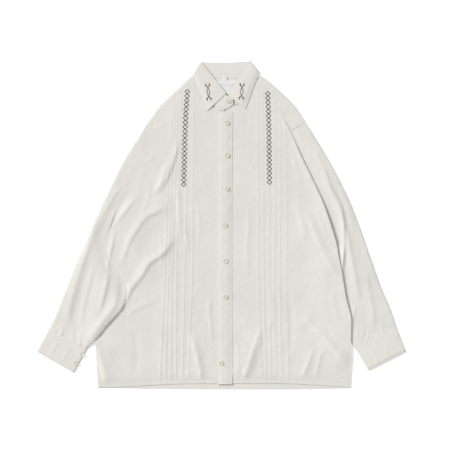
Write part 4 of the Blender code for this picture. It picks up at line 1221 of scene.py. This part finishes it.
def collar_lines(grid):
    """Lines of topstitching near the leaves' outer edges and front ends."""
    centre = COLUMNS // 2
    upper = grid[:, centre, 2] > FOLD_AXIS_Z + FALL_RADIUS / 2.0
    x = grid[:, centre, 0]
    lines = []
    for leaf in (grid[upper & (x < CENTRE_X)], grid[upper & (x > CENTRE_X)][::-1]):
        lines.append([tuple(p[:2]) for p in leaf[1:, EDGE_COLUMN]])
        end = [tuple(p[:2]) for p in leaf[0, 2:EDGE_COLUMN + 1]]
        side = COLLAR_STITCH if measure(np.array([leaf[2, centre, :2]]), end)[0][0] > 0 else -COLLAR_STITCH
        lines.append(moved(end, side))
    return lines


def sew_fronts(fronts, crests):
    """Stitching beside the pintucks and along the hem bands, and the embroidered chains."""
    for name, item in fronts.items():
        found = surface(item)
        left = name == "front_left"
        beside = -TUCK_STITCH if left else TUCK_STITCH
        segments = [s for crest in crests[name] for s in dashes(found, moved(crest, beside))]
        segments += dashes(found, hem_line(FRONTS[name][1]))
        strokes("stitch_" + name, "shirt_cloth", item, segments)
        links = chain_segments(found, CHAIN_LEFT if left else CHAIN_RIGHT)
        strokes("chain_" + name, "shirt_cloth", item, links, THREAD, "thread_dark")


def sew_seams(back, yoke, fronts, cuffs):
    """Topstitching along the yoke's seams, the armholes, the back hem and the cuffs."""
    found = surface(yoke)
    segments = dashes(found, moved(curve(STRIP_LEFT), -SEAM_STITCH), sink=SEAM_STITCH_SINK)
    segments += dashes(found, moved(curve(STRIP_RIGHT), SEAM_STITCH), sink=SEAM_STITCH_SINK)
    strokes("stitch_yoke", "shirt_cloth", yoke, segments)
    for name, hole, side in (("front_left", ARMHOLE_LEFT, 1.0), ("front_right", ARMHOLE_RIGHT, -1.0)):
        line = moved(curve(hole), side * SEAM_STITCH)
        segments = dashes(surface(fronts[name]), line, sink=SEAM_STITCH_SINK)
        strokes("stitch_armhole_" + name, "shirt_cloth", fronts[name], segments)
    hem = [(x, y + BACK_HEM_STITCH) for x, y in curve(HEM_BACK)]
    strokes("stitch_back", "shirt_cloth", back, dashes(surface(back), hem))
    for name, ends in CUFFS.items():
        found = surface(cuffs[name])
        segments = []
        for share in CUFF_STITCH_SHARES:
            segments += dashes(found, curve([mix(a, b, share) for a, b in zip(*ends)]))
        strokes("stitch_" + name, "collar_cloth", cuffs[name], segments)


def main():
    MATERIALS.update((slot, make_material(*finish)) for slot, finish in FINISHES.items())
    make_stage()
    back = make_back()
    yoke = make_yoke()
    fronts, crests = make_fronts()
    placket, placket_stitch = make_placket()
    sleeves = make_sleeves()
    fall, grid = make_collar()
    make_labels()
    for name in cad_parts:
        if name.startswith("button"):
            make_button(name)
    sew_fronts(fronts, crests)
    found = surface(placket)
    segments = [s for line in placket_stitch for s in dashes(found, line)]
    strokes("stitch_placket", "shirt_cloth", placket, segments + buttonholes(found))
    found = surface(fall)
    segments = [s for line in collar_lines(grid) for s in dashes(found, line)]
    strokes("stitch_collar", "collar_cloth", fall, segments)
    sew_seams(back, yoke, fronts, sleeves)
    for name, ends in (("motif_left", MOTIF_LEFT), ("motif_right", MOTIF_RIGHT)):
        strokes(name, "collar_cloth", fall, motif_segments(found, ends), THREAD, "thread_dark")


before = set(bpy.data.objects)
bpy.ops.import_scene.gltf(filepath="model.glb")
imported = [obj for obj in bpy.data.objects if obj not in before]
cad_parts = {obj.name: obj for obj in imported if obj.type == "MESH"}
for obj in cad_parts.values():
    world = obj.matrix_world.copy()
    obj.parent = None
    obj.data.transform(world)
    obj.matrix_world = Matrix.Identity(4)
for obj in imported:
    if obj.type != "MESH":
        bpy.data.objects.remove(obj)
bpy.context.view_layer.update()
main()
